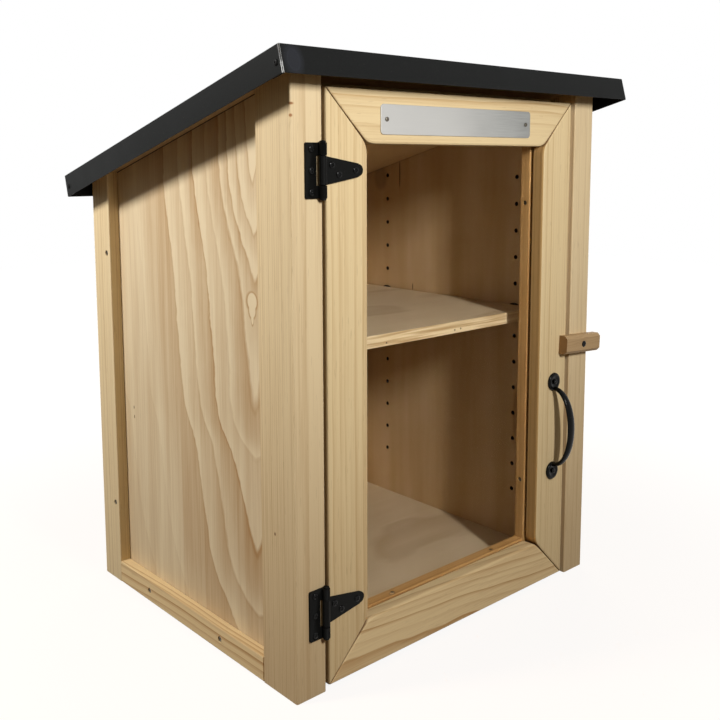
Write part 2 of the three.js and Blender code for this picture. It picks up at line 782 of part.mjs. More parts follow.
function plateSolid() {
  const outline = roundedRectangle(
    [plateBottom, plateBottom + plateWidth], [plateLeft, plateLeft + plateLength], plateCornerRadius);
  const plate = prism('y', outline, [-seatGap - plateThickness, -seatGap], easeFacets * 2);
  return cut(plate, ...plateScrewPlaces().map((place) => screwHole(plateScrew, place)));
}

// Tee hinges, in a frame whose origin is the middle of the pin

const sheetBack = -hingeAxisY - seatGap;
const sheetFront = sheetBack - hingeSheet;

function knuckle([low, high]) {
  return rod('z', knuckleRadius, [low, high], [0, 0, 0], roundFacets);
}

function pinBore() {
  const reach = barrelLength / 2 + cutOverrun;
  return rod('z', hingePinRadius + jointGap, [-reach, reach], [0, 0, 0], roundFacets);
}

function hingeLeafSolid() {
  const outerHalf = barrelLength / 2;
  const notchHalf = middleKnuckleLength / 2 + knuckleGap;
  const leafHalf = leafHeight / 2;
  const plate = block([-leafReach, 0], [sheetFront, sheetBack], [-leafHalf, leafHalf]);
  const notch = block(
    [-leafNotchReach, cutOverrun], [sheetFront - cutOverrun, sheetBack + cutOverrun],
    [-notchHalf, notchHalf]);
  const holes = [leafScrewSpread, 0, -leafScrewSpread].map((offset) => rod(
    'y', hingeScrew.shank + jointGap, [sheetFront - cutOverrun, sheetBack + cutOverrun],
    [-leafScrewReach, 0, offset]));
  const body = joined(cut(plate, notch), knuckle([notchHalf, outerHalf]), knuckle([-outerHalf, -notchHalf]));
  return cut(body, pinBore(), ...holes);
}

function hingeStrapSolid() {
  const half = middleKnuckleLength / 2;
  const tipCentre = strapTipReach - strapTipRadius;
  const outline = new THREE.Shape();
  outline.moveTo(-half, 0);
  outline.lineTo(half, 0);
  outline.lineTo(half, knuckleRadius);
  outline.lineTo(strapShoulderHalf, strapShoulderReach);
  outline.lineTo(strapTipRadius, strapShoulderReach);
  outline.absarc(0, tipCentre, strapTipRadius, 0, Math.PI, false);
  outline.lineTo(-strapTipRadius, strapShoulderReach);
  outline.lineTo(-strapShoulderHalf, strapShoulderReach);
  outline.lineTo(-half, knuckleRadius);
  const plate = prism('y', outline, [sheetFront, sheetBack], boreFacets);
  const holes = Object.values(strapScrewPlaces).map(([reach, offset]) => rod(
    'y', hingeScrew.shank + jointGap, [sheetFront - cutOverrun, sheetBack + cutOverrun],
    [reach, 0, offset]));
  return cut(joined(plate, knuckle([-half, half])), pinBore(), ...holes);
}

// The pin, with a low domed head over each end of the barrel.
function hingePinGeometry() {
  const end = barrelLength / 2 + seatGap;
  const crown = end + hingePinHeadHeight;
  const shoulder = end + hingePinHeadHeight / 2;
  const half = [
    [0, crown], [hingePinHeadRadius / 2, crown], [hingePinHeadRadius, shoulder],
    [hingePinHeadRadius, end], [hingePinRadius, end],
  ];
  const lower = half.map(([radius, along]) => [radius, -along]);
  const profile = [...lower, ...half.reverse()];
  const points = profile.map(([radius, along]) => new THREE.Vector2(radius, along));
  const geometry = new THREE.LatheGeometry(points, roundFacets);
  geometry.rotateX(Math.PI / 2);
  return geometryOf(solidOf(geometry));
}

function hingeGroups() {
  const leaf = geometryOf(hingeLeafSolid());
  const strap = geometryOf(hingeStrapSolid());
  const pin = hingePinGeometry();
  return Object.entries(hingeHeights).map(([level, height]) => {
    const hinge = new THREE.Group();
    hinge.position.set(hingeAxisX, hingeAxisY, height);
    hinge.add(
      namedMesh(`hinge_leaf_${level}`, leaf, finishes.blackIron()),
      namedMesh(`hinge_strap_${level}`, strap, finishes.blackIron()),
      namedMesh(`hinge_pin_${level}`, pin, finishes.blackIron()),
    );
    return hinge;
  });
}

// Pull handle, in a frame on the door's face, midway between its pads

function handlePad(offset) {
  const rim = handlePadThickness - handlePadCrown;
  const profile = [
    [0, 0], [handlePadRadius, 0], [handlePadRadius, -rim],
    [handlePadRadius - handlePadCrown * 2, -handlePadThickness], [0, -handlePadThickness],
  ];
  const points = profile.reverse().map(([radius, along]) => new THREE.Vector2(radius, along));
  const geometry = new THREE.LatheGeometry(points, roundFacets);
  geometry.translate(0, 0, offset);
  return solidOf(geometry);
}

// The bow between the pads: an oval bar along one cubic curve, drawn in towards its two roots.
function handleBow(half) {
  const root = half - bowRootInset;
  const rootY = -handlePadThickness / 2;
  const crestY = bowHalfThickness - handleStandoff;
  const reach = (crestY - rootY * cubicEndShare) / (1 - cubicEndShare);
  const path = new THREE.CubicBezierCurve3(
    new THREE.Vector3(0, rootY, root), new THREE.Vector3(0, reach, root),
    new THREE.Vector3(0, reach, -root), new THREE.Vector3(0, rootY, -root));
  const section = new THREE.Shape();
  section.absellipse(0, 0, bowHalfWidth, bowHalfThickness, 0, Math.PI * 2, false, 0);
  const geometry = new THREE.ExtrudeGeometry(section, {
    steps: bowSteps, curveSegments: bowFacets, extrudePath: path,
  });
  const positions = geometry.getAttribute('position');
  for (let i = 0; i < positions.count; i += 1) {
    const out = Math.min(1, positions.getY(i) / crestY);
    const share = bowRootShare + (1 - bowRootShare) * out * out;
    positions.setX(i, positions.getX(i) * share);
  }
  return solidOf(geometry);
}

function handleSolid() {
  const half = handlePadSpacing / 2;
  const holes = [half, -half].map((offset) => rod(
    'y', handleScrew.shank + jointGap, [-cutOverrun, cutOverrun], [0, 0, offset]));
  return cut(joined(handlePad(half), handlePad(-half), handleBow(half)), ...holes);
}

function handleMesh() {
  const handle = meshOf('door_handle', handleSolid(), finishes.blackIron());
  handle.position.set(handleX, -seatGap, handleHeight);
  return handle;
}

// Turn button, in a frame on the post's face at the pivot

function buttonSolid() {
  const half = buttonLength / 2;
  const halfWidth = buttonWidth / 2;
  const faceHalf = halfWidth - buttonEase;
  const cutStart = buttonEase - buttonThickness;
  const section = polygon([
    [0, -halfWidth], [0, halfWidth], [cutStart, halfWidth], [-buttonThickness, faceHalf],
    [-buttonThickness, -faceHalf], [cutStart, -halfWidth],
  ]);
  const pivotHole = rod('y', buttonScrew.shank + jointGap, [-cutOverrun, cutOverrun], [0, 0, 0]);
  return cut(prism('x', section, [-half, half]), pivotHole);
}

function buttonMesh() {
  const button = meshOf('turn_button', buttonSolid(), finishes.paleButton());
  button.position.set(buttonX, -seatGap, buttonHeight);
  button.rotation.y = THREE.MathUtils.degToRad(buttonTiltDegrees);
  return button;
}

// Assembly

const exchangeBox = new THREE.Group();
const cabinet = new THREE.Group();
cabinet.position.set(-bodyWidth / 2, -bodyDepth / 2, 0);
cabinet.add(
  ...cabinetPieces(),
  roofPieces(),
  ...shelfPieces(),
  doorPieces(),
  ...hingeGroups(),
  ...screwMeshes(hingeScrew, leafScrewPlaces(), finishes.blackIron),
  ...screwMeshes(hingeScrew, strapScrews(), finishes.blackIron),
  meshOf('name_plate', plateSolid(), finishes.brushedPlate()),
  ...screwMeshes(plateScrew, plateScrewPlaces(), finishes.steel),
  handleMesh(),
  ...screwMeshes(handleScrew, handleScrewPlaces(), finishes.blackIron),
  buttonMesh(),
  ...screwMeshes(buttonScrew, [buttonScrewPlace()], finishes.blackIron),
);
exchangeBox.add(cabinet);

export default exchangeBox;
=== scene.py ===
"""A street book exchange box: finishes, fine metalwork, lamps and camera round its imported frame."""

from __future__ import annotations

import json
import logging
import math
from dataclasses import dataclass, field
from enum import Enum
from typing import Any, Callable, ClassVar, Iterable, Sequence

import bmesh
import bpy
from mathutils import Matrix, Vector

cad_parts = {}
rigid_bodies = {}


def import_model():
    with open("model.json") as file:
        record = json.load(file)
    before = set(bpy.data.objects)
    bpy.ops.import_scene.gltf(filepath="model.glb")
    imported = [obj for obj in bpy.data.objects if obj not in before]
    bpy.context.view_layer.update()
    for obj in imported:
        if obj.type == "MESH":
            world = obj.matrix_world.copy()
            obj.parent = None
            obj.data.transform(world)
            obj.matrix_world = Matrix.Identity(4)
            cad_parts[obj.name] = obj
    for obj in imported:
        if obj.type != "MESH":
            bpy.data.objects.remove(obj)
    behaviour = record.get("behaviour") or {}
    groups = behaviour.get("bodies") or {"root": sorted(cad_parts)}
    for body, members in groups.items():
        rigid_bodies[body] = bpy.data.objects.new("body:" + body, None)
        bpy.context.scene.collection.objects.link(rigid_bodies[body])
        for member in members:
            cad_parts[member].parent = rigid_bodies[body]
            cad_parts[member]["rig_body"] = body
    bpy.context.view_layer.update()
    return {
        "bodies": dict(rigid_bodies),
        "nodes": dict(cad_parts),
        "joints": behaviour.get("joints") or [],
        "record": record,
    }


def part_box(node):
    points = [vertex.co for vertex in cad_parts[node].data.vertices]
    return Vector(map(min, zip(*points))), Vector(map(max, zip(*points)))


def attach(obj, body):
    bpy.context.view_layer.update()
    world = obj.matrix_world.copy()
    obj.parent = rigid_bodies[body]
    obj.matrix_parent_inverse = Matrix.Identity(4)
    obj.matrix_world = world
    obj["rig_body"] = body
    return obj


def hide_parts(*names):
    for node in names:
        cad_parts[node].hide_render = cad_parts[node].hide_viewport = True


LOG = logging.getLogger("book_exchange_box")
MM = 0.001
WHITE = (1.0, 1.0, 1.0, 1.0)
ORIGIN = (0.0, 0.0, 0.0)

Colour = tuple[int, int, int]
Linear = tuple[float, float, float, float]
Triple = tuple[float, float, float]
Point = tuple[float, float]
Socket = bpy.types.NodeSocket


def linear(colour: Colour) -> Linear:
    """Turns a screen colour into the linear values that shader sockets take.

    Args:
        colour: Red, green and blue from 0 to 255, as they look on a screen.

    Returns:
        Linear red, green and blue, and an alpha of one.
    """
    shares = [part / 255 for part in colour]
    curved = [s / 12.92 if s <= 0.04045 else ((s + 0.055) / 1.055) ** 2.4 for s in shares]
    return (curved[0], curved[1], curved[2], 1.0)


def in_metres(points: Iterable[Sequence[float]]) -> list[Point]:
    """Returns flat points that are given in millimetres."""
    return [(first * MM, second * MM) for first, second in points]


class Axis(Enum):
    """The direction that a board's grain follows, with the orders of its own three directions."""

    X = ("Y", "Z", "X")
    Y = ("X", "Z", "Y")
    Z = ("X", "Y", "Z")


class Facing(Enum):
    """The direction that a head, a pad or one side of a board looks to."""

    FRONT = (0.0, -1.0, 0.0)
    LEFT = (-1.0, 0.0, 0.0)
    RIGHT = (1.0, 0.0, 0.0)
    UP = (0.0, 0.0, 1.0)
    DOWN = (0.0, 0.0, -1.0)

    def turn(self) -> Matrix:
        """Returns the rotation that lays a piece's own +Z along this direction."""
        return Vector(self.value).to_track_quat("Z", "Y").to_matrix().to_4x4()


class Cabinet:
    """The cabinet's main sizes in millimetres, from the lower front left corner of its body."""

    width = 511.0
    depth = 436.0
    head_height = 663.5
    slope = math.radians(15)
    fall = math.tan(slope)
    door_low = (45.0, 0.0, 4.5)
    door_high = (462.6, 0.0, 646.4)
    member_width = 57.0

    @classmethod
    def place(cls, x: float, y: float, z: float) -> Vector:
        """Returns a row-frame point in metres from millimetres off the body's corner."""
        return Vector((x - cls.width / 2, y - cls.depth / 2, z)) * MM


class Graph:
    """A node tree being drawn, with short ways to add its nodes and join them."""

    def __init__(self, tree: bpy.types.NodeTree) -> None:
        """Starts on a material's, world's or group's node tree."""
        self.tree = tree

    def feed(self, socket: Socket, value: Any) -> None:
        """Gives an input a value, or a link where the value is another socket.

        Args:
            socket: The input.
            value: A plain value or an output socket.
        """
        if isinstance(value, bpy.types.NodeSocket):
            self.tree.links.new(value, socket)
        else:
            socket.default_value = value

    def add(self, kind: str, inputs: dict[Any, Any] | None = None, **settings: Any) -> bpy.types.Node:
        """Adds a node.

        Args:
            kind: Blender's name for the kind of node.
            inputs: Values or sockets for its inputs, by name or by number.
            **settings: The node's own settings.

        Returns:
            The new node.
        """
        node = self.tree.nodes.new(kind)
        for key, value in settings.items():
            setattr(node, key, value)
        for key, value in (inputs or {}).items():
            self.feed(node.inputs[key], value)
        return node

    def group(self, tree: bpy.types.NodeTree, inputs: dict[str, Any]) -> Any:
        """Returns the outputs of a shared group placed with its own values."""
        return self.add("ShaderNodeGroup", inputs, node_tree=tree).outputs

    def place(self) -> Socket:
        """Returns the place on the piece, in its own coordinates."""
        return self.add("ShaderNodeTexCoord").outputs["Object"]

    def outward(self) -> Socket:
        """Returns the direction that the surface faces, in the piece's own coordinates."""
        return self.add("ShaderNodeTexCoord").outputs["Normal"]

    def math(self, operation: str, *terms: Any) -> Socket:
        """Returns the result of one Math node over up to three terms."""
        return self.add("ShaderNodeMath", dict(enumerate(terms)), operation=operation).outputs[0]

    def vector(self, operation: str, *terms: Any) -> bpy.types.Node:
        """Returns one Vector Math node over up to two terms."""
        return self.add("ShaderNodeVectorMath", dict(enumerate(terms)), operation=operation)

    def separate(self, vector: Any) -> dict[str, Socket]:
        """Returns the three components of a vector by their letters."""
        node = self.add("ShaderNodeSeparateXYZ", {0: vector})
        return {letter: node.outputs[letter] for letter in "XYZ"}

    def combine(self, x: Any, y: Any, z: Any) -> Socket:
        """Returns a vector made of three values."""
        return self.add("ShaderNodeCombineXYZ", {0: x, 1: y, 2: z}).outputs[0]

    def moved(self, vector: Socket, offset: Any) -> Socket:
        """Returns a vector with an offset added to it."""
        return self.vector("ADD", vector, offset).outputs[0]

    def noise(self, vector: Socket, scale: float, detail: float = 2.0, rough: float = 0.5) -> Socket:
        """Returns a soft noise from 0 to 1 over a vector."""
        inputs = {"Vector": vector, "Scale": scale, "Detail": detail, "Roughness": rough}
        return self.add("ShaderNodeTexNoise", inputs, noise_dimensions="3D").outputs[0]

    def grain(self, vector: Socket, cells: Triple, detail: float = 2.0, rough: float = 0.5) -> Socket:
        """Returns a soft noise with its own number of cells in a metre along each axis."""
        return self.noise(self.vector("MULTIPLY", vector, cells).outputs[0], 1.0, detail, rough)

    def noise_on(self, value: Socket, scale: float) -> Socket:
        """Returns a soft noise from 0 to 1 along a single value."""
        inputs = {"W": value, "Scale": scale, "Detail": 1.0}
        return self.add("ShaderNodeTexNoise", inputs, noise_dimensions="1D").outputs[0]

    def swing(self, noise: Socket, reach: Any, base: Any, middle: float = 0.5) -> Socket:
        """Returns a base value moved either way by a noise.

        Args:
            noise: The noise.
            reach: How far one unit of noise moves the base.
            base: The value to move.
            middle: The noise that leaves the base where it is.

        Returns:
            The moved value.
        """
        return self.math("MULTIPLY_ADD", self.math("SUBTRACT", noise, middle), reach, base)

    def span(self, value: Any, low: float, high: float, to_low: Any = 0.0, to_high: Any = 1.0) -> Socket:
        """Returns a value carried from one span to another, eased and held at its ends."""
        inputs = {0: value, 1: low, 2: high, 3: to_low, 4: to_high}
        return self.add("ShaderNodeMapRange", inputs, interpolation_type="SMOOTHSTEP").outputs[0]

    def ramp(self, value: Socket, stops: Sequence[Point]) -> Socket:
        """Returns grey values picked along a ramp.

        Args:
            value: The place on the ramp, from 0 to 1.
            stops: Place and grey of each stop, in order.

        Returns:
            The grey under the value.
        """
        node = self.add("ShaderNodeValToRGB", {0: value})
        elements = node.color_ramp.elements
        while len(elements) < len(stops):
            elements.new(0.5)
        for element, (place, _) in zip(elements, stops):
            element.position = place
        for element, (_, grey) in zip(elements, stops):
            element.color = (grey, grey, grey, 1.0)
        return node.outputs[0]

    def mix(self, factor: Any, first: Any, second: Any, blend: str = "MIX") -> Socket:
        """Returns two colours mixed by a factor.

        Args:
            factor: The second colour's share, from 0 to 1.
            first: The colour under it.
            second: The colour over it.
            blend: Blender's name for the way of mixing.

        Returns:
            The mixed colour.
        """
        node = self.add("ShaderNodeMix", data_type="RGBA", blend_type=blend, clamp_factor=True)
        for number, value in ((0, factor), (6, first), (7, second)):
            self.feed(node.inputs[number], value)
        return node.outputs[2]

    def between(self, factor: Any, colour: Colour, other: Colour) -> Socket:
        """Returns a mix of two screen colours."""
        return self.mix(factor, linear(colour), linear(other))

    def relief(self, height: Socket, strength: float, depth: float) -> Socket:
        """Returns a normal bent by a height, with the depth in millimetres."""
        inputs = {"Height": height, "Strength": strength, "Distance": depth * MM}
        return self.add("ShaderNodeBump", inputs).outputs[0]


def shared_group(
    name: str, inputs: dict[str, Any], outputs: Sequence[str], draw: Callable[[Graph, Any], dict[str, Any]]
) -> bpy.types.NodeTree:
    """Builds a shader node group once and returns it on every later call.

    Args:
        name: The group's name.
        inputs: Its inputs and their defaults, where a tuple of three is a vector.
        outputs: Its outputs, each a single value.
        draw: Draws the group from its input node and returns a socket for each output.

    Returns:
        The group's node tree.
    """
    found = bpy.data.node_groups.get(name)
    if found is not None:
        return found
    tree = bpy.data.node_groups.new(name, "ShaderNodeTree")
    for key, default in inputs.items():
        kind = "NodeSocketVector" if isinstance(default, tuple) else "NodeSocketFloat"
        socket = tree.interface.new_socket(name=key, in_out="INPUT", socket_type=kind)
        socket.default_value = default
    for key in outputs:
        tree.interface.new_socket(name=key, in_out="OUTPUT", socket_type="NodeSocketFloat")
    graph = Graph(tree)
    source = graph.add("NodeGroupInput")
    made = draw(graph, source.outputs)
    graph.add("NodeGroupOutput", {key: made[key] for key in outputs})
    return tree


class Effects:
    """The effects that several finishes share, each one node group.

    A grain is given by its cells in a metre across, into and along a board.
    """

    streak_grain = (700.0, 700.0, 9.0)
    band_grain = (55.0, 55.0, 2.2)
    drift_grain = (9.0, 9.0, 2.5)
    pore_grain = (620.0, 620.0, 55.0)
    bend_grain = (7.0, 7.0, 3.2)
    ripple_grain = (30.0, 30.0, 14.0)
    ripple_share = 0.16
    ring_sway = 1.6
    year_stops = ((0.0, 0.0), (0.45, 0.12), (0.78, 0.62), (0.93, 1.0), (1.0, 0.0))
    weakest_ring = 0.25
    rim_stops = ((0.35, 0.0), (0.5, 1.0), (0.75, 0.0))
    rim_reach = 2.0
    groove_half_width = (0.3, 1.5)

    @classmethod
    def fibres(cls) -> bpy.types.NodeTree:
        """Returns the group of fine streaks, soft drifts of tone and short dark pores along a board."""

        def draw(graph: Graph, given: Any) -> dict[str, Socket]:
            place = graph.moved(given["Position"], given["Offset"])
            return {
                "Streak": graph.span(graph.grain(place, cls.streak_grain, 3.0, 0.6), 0.3, 0.7),
                "Band": graph.span(graph.grain(place, cls.band_grain, 2.0, 0.55), 0.3, 0.7),
                "Drift": graph.span(graph.grain(place, cls.drift_grain, 1.0), 0.3, 0.7),
                "Pores": graph.span(graph.grain(place, cls.pore_grain, 0.0), 0.72, 0.8),
            }

        inputs = {"Position": ORIGIN, "Offset": ORIGIN}
        return shared_group("wood_fibres", inputs, ("Streak", "Band", "Drift", "Pores"), draw)

    @classmethod
    def rings(cls) -> bpy.types.NodeTree:
        """Returns the group that turns a distance from the pith into year rings, no two alike."""

        def draw(graph: Graph, given: Any) -> dict[str, Socket]:
            count = graph.math("DIVIDE", given["Radius"], given["Ring Width"])
            count = graph.swing(graph.noise_on(count, 0.45), cls.ring_sway, count)
            rise = graph.ramp(graph.math("FRACT", count), cls.year_stops)
            whole = graph.math("ADD", graph.math("FLOOR", count), given["Seed"])
            noise = graph.add("ShaderNodeTexWhiteNoise", {"W": whole}, noise_dimensions="1D").outputs[0]
            strength = graph.math("MULTIPLY_ADD", noise, 1.0 - cls.weakest_ring, cls.weakest_ring)
            return {"Late Wood": graph.math("MULTIPLY", rise, strength)}

        inputs = {"Radius": 0.0, "Ring Width": 0.0, "Seed": 0.0}
        return shared_group("year_rings", inputs, ("Late Wood",), draw)

    @classmethod
    def log_radius(cls) -> bpy.types.NodeTree:
        """Returns the group that gives each point of a board its distance from the log's wavering pith."""

        def draw(graph: Graph, given: Any) -> dict[str, Socket]:
            board = graph.separate(given["Position"])
            place = graph.moved(given["Position"], given["Offset"])
            bend = graph.math("SUBTRACT", graph.grain(place, cls.bend_grain, 1.0), 0.5)
            waver = graph.swing(graph.grain(place, cls.ripple_grain, 1.0), cls.ripple_share, bend)
            across = graph.math("SUBTRACT", board["X"], given["Pith Across"])
            across = graph.math("MULTIPLY_ADD", waver, given["Wander"], across)
            depth = graph.math("SUBTRACT", board["Y"], given["Pith Depth"])
            depth = graph.math("MULTIPLY_ADD", board["Z"], given["Taper"], depth)
            squares = graph.math("MULTIPLY_ADD", across, across, graph.math("MULTIPLY", depth, depth))
            return {"Radius": graph.math("SQRT", squares)}

        inputs = dict.fromkeys(("Position", "Offset"), ORIGIN)
        inputs |= dict.fromkeys(("Pith Across", "Pith Depth", "Taper", "Wander"), 0.0)
        return shared_group("log_radius", inputs, ("Radius",), draw)

    @classmethod
    def spot(cls) -> bpy.types.NodeTree:
        """Returns the group that marks one round or oval spot, such as a knot, a plug or a nail."""

        def draw(graph: Graph, given: Any) -> dict[str, Socket]:
            away = graph.vector("SUBTRACT", given["Position"], given["Centre"]).outputs[0]
            share = graph.vector("DIVIDE", away, given["Reach"]).outputs[0]
            distance = graph.vector("LENGTH", share).outputs["Value"]
            core = graph.span(distance, 0.75, 1.0, 1.0, 0.0)
            ring = graph.ramp(graph.math("DIVIDE", distance, cls.rim_reach), cls.rim_stops)
            return {"Core": core, "Ring": ring}

        inputs = dict.fromkeys(("Position", "Centre", "Reach"), ORIGIN)
        return shared_group("spot", inputs, ("Core", "Ring"), draw)

    @classmethod
    def mitre(cls) -> bpy.types.NodeTree:
        """Returns the group of painted shade in the grooves where the door's members meet, widest at the
        inside.
        """

        def draw(graph: Graph, given: Any) -> dict[str, Socket]:
            place = graph.separate(given["Position"])
            low, high = Cabinet.place(*Cabinet.door_low), Cabinet.place(*Cabinet.door_high)
            sides = []
            for letter, near, far in (("X", low.x, high.x), ("Z", low.z, high.z)):
                start = graph.math("SUBTRACT", place[letter], near)
                end = graph.math("SUBTRACT", far, place[letter])
                sides.append(graph.math("MINIMUM", start, end))
            away = graph.math("ABSOLUTE", graph.math("SUBTRACT", *sides))
            inward = graph.span(sides[0], 20 * MM, Cabinet.member_width * MM, 1.0, 0.4)
            full, none = (width * MM for width in cls.groove_half_width)
            return {"Groove": graph.span(graph.math("MULTIPLY", away, inward), full, none, 0.9, 0.0)}

        return shared_group("door_mitre_shade", {"Position": ORIGIN}, ("Groove",), draw)

    @staticmethod
    def speckle() -> bpy.types.NodeTree:
        """Returns the group of fine texture, slow cloudiness and specks of dust on a coated surface."""

        def draw(graph: Graph, given: Any) -> dict[str, Socket]:
            place = given["Position"]
            return {
                "Grain": graph.span(graph.noise(place, 1400.0), 0.3, 0.7),
                "Cloud": graph.span(graph.noise(place, 14.0, 3.0), 0.35, 0.65),
                "Dust": graph.span(graph.noise(place, 900.0, 0.0), 0.82, 0.88),
            }

        return shared_group("speckle", {"Position": ORIGIN}, ("Grain", "Cloud", "Dust"), draw)


def new_material(name: str) -> tuple[bpy.types.Material, Graph, Any]:
    """Starts a material.

    Args:
        name: Its name.

    Returns:
        The material, its graph, and the Principled shader that is joined to its output.
    """
    material = bpy.data.materials.new(name)
    material.use_nodes = True
    material.node_tree.nodes.clear()
    graph = Graph(material.node_tree)
    shader = graph.add("ShaderNodeBsdfPrincipled")
    graph.add("ShaderNodeOutputMaterial", {"Surface": shader.outputs[0]})
    return material, graph, shader


@dataclass(frozen=True)
class Spot:
    """A mark on one face of a piece: a knot, a resin nub, a filled nail, a nick, a patch of painted shade or
    a painted reflection.

    Its centre and reach are in millimetres, the centre from the body's corner.
    """

    centre: Triple
    reach: Triple
    core: Colour = (96, 62, 34)
    ring: Colour = (176, 138, 92)
    core_strength: float = 0.85
    ring_strength: float = 0.5

    def masks(self, graph: Graph, place: Socket) -> Any:
        """Returns where the mark's Core and its Ring lie, from 0 to 1."""
        reach = tuple(size * MM for size in self.reach)
        centre = tuple(Cabinet.place(*self.centre))
        return graph.group(Effects.spot(), {"Position": place, "Centre": centre, "Reach": reach})


@dataclass(frozen=True)
class Tone:
    """The two colours of a wood, and how strongly its marks show.

    Contrast is the year rings' strength. Streak, band and drift are ever wider changes of tone along
    the grain, pores are short dark dashes, and foot is the strength of painted shade near the ground.
    """

    pale: Colour
    deep: Colour
    contrast: float
    streak: float = 0.10
    band: float = 0.16
    drift: float = 0.10
    pores: float = 0.30
    foot: float = 0.0


PINE = Tone((234, 213, 172), (188, 154, 106), 0.65, streak=0.22, pores=0.12)
POST_PINE = Tone((233, 211, 170), (184, 149, 102), 0.7, streak=0.3, pores=0.14, foot=0.3)
DOOR_PINE = Tone((235, 212, 166), (188, 150, 98), 0.7, streak=0.26, pores=0.14, foot=0.16)
BOLD_PINE = Tone((240, 214, 166), (184, 138, 84), 1.0, streak=0.2, pores=0.12)
# Painted shade: the beads' pine is browner and darker than the door's, as they sit in shade.
SHADED_BEAD_PINE = Tone((190, 148, 92), (146, 98, 48), 0.7, streak=0.2, pores=0.12)
PANEL = Tone((232, 214, 180), (176, 138, 92), 1.0, streak=0.2, band=0.28, drift=0.2, pores=0.06)
VENEER = Tone((209, 190, 157), (172, 143, 106), 0.42, streak=0.08, band=0.08, pores=0.04)
# Painted shade: the plywood's inside faces and the roof board's underside, darker and browner than outside.
SHADED_INNER = Tone((212, 185, 144), (194, 163, 119), 0.35, streak=0.05, band=0.06, pores=0.05)
BUTTON = Tone((186, 156, 116), (142, 106, 66), 0.6, streak=0.16, band=0.25)


class WoodSurface:
    """The part of a wood finish that every board shares: tone, pores, marks, painted shade near the ground,
    roughness and relief.
    """

    pore_colour: Colour = (118, 84, 52)
    foot_shade_colour: Colour = (150, 108, 60)
    foot_shade_height = 420.0
    seed_steps = (1.37, 2.11, 3.73)
    band_middle = 0.4
    late_relief = 0.6

    def __init__(self, graph: Graph, shader: Any, tone: Tone, seed: float) -> None:
        """Starts on a material.

        Args:
            graph: The material's graph.
            shader: Its Principled shader.
            tone: The wood's colours and strengths.
            seed: Moves the fibres so that no two boards match.
        """
        self.graph = graph
        self.shader = shader
        self.tone = tone
        self.offset = tuple(seed * step for step in self.seed_steps)
        self.place = graph.place()

    def board_place(self, axis: Axis) -> Socket:
        """Returns the place across, into and along the board, in its own three directions."""
        parts = self.graph.separate(self.place)
        return self.graph.combine(*(parts[letter] for letter in axis.value))

    def marked(self, colour: Socket, spots: Iterable[Spot]) -> Socket:
        """Paints spots over a colour.

        Args:
            colour: The wood's colour.
            spots: The marks to paint.

        Returns:
            The colour with the marks on it.
        """
        graph = self.graph
        for spot in spots:
            masks = spot.masks(graph, self.place)
            ring = graph.math("MULTIPLY", masks["Ring"], spot.ring_strength)
            core = graph.math("MULTIPLY", masks["Core"], spot.core_strength)
            colour = graph.mix(ring, colour, linear(spot.ring))
            colour = graph.mix(core, colour, linear(spot.core))
        return colour

    def dress(self, late: Socket, axis: Axis, spots: Iterable[Spot] = (), relief: Any = 1.0) -> Socket:
        """Finishes the wood from its mask of late wood.

        Args:
            late: Where the darker late wood lies, from 0 to 1.
            axis: The grain's direction.
            spots: Marks to paint over the grain.
            relief: How far the grain stands out, from 0 to 1.

        Returns:
            The base colour, which already feeds the shader.
        """
        graph, tone, inputs = self.graph, self.tone, self.shader.inputs
        fibres = graph.group(Effects.fibres(), {"Position": self.board_place(axis), "Offset": self.offset})
        amount = graph.math("MULTIPLY", late, tone.contrast)
        amount = graph.swing(fibres["Band"], tone.band, amount, self.band_middle)
        amount = graph.swing(fibres["Drift"], tone.drift, amount)
        amount = graph.swing(fibres["Streak"], tone.streak, amount)
        colour = graph.between(amount, tone.pale, tone.deep)
        pores = graph.math("MULTIPLY", fibres["Pores"], tone.pores)
        colour = graph.mix(pores, colour, linear(self.pore_colour))
        # Painted shade: by the tone's foot, the wood is mixed towards a darker brown near the ground.
        height = graph.separate(self.place)["Z"]
        foot_shade = graph.span(height, 0.0, self.foot_shade_height * MM, tone.foot, 0.0)
        colour = self.marked(graph.mix(foot_shade, colour, linear(self.foot_shade_colour)), spots)
        graph.feed(inputs["Base Color"], colour)
        graph.feed(inputs["Roughness"], graph.math("MULTIPLY_ADD", fibres["Streak"], 0.12, 0.56))
        inputs["Specular IOR Level"].default_value = 0.25
        raised = graph.math("MULTIPLY_ADD", late, self.late_relief, fibres["Streak"])
        raised = graph.math("MULTIPLY_ADD", fibres["Pores"], -1.0, raised)
        raised = graph.math("MULTIPLY", raised, relief)
        graph.feed(inputs["Normal"], graph.relief(raised, 0.35, 0.12))
        return colour


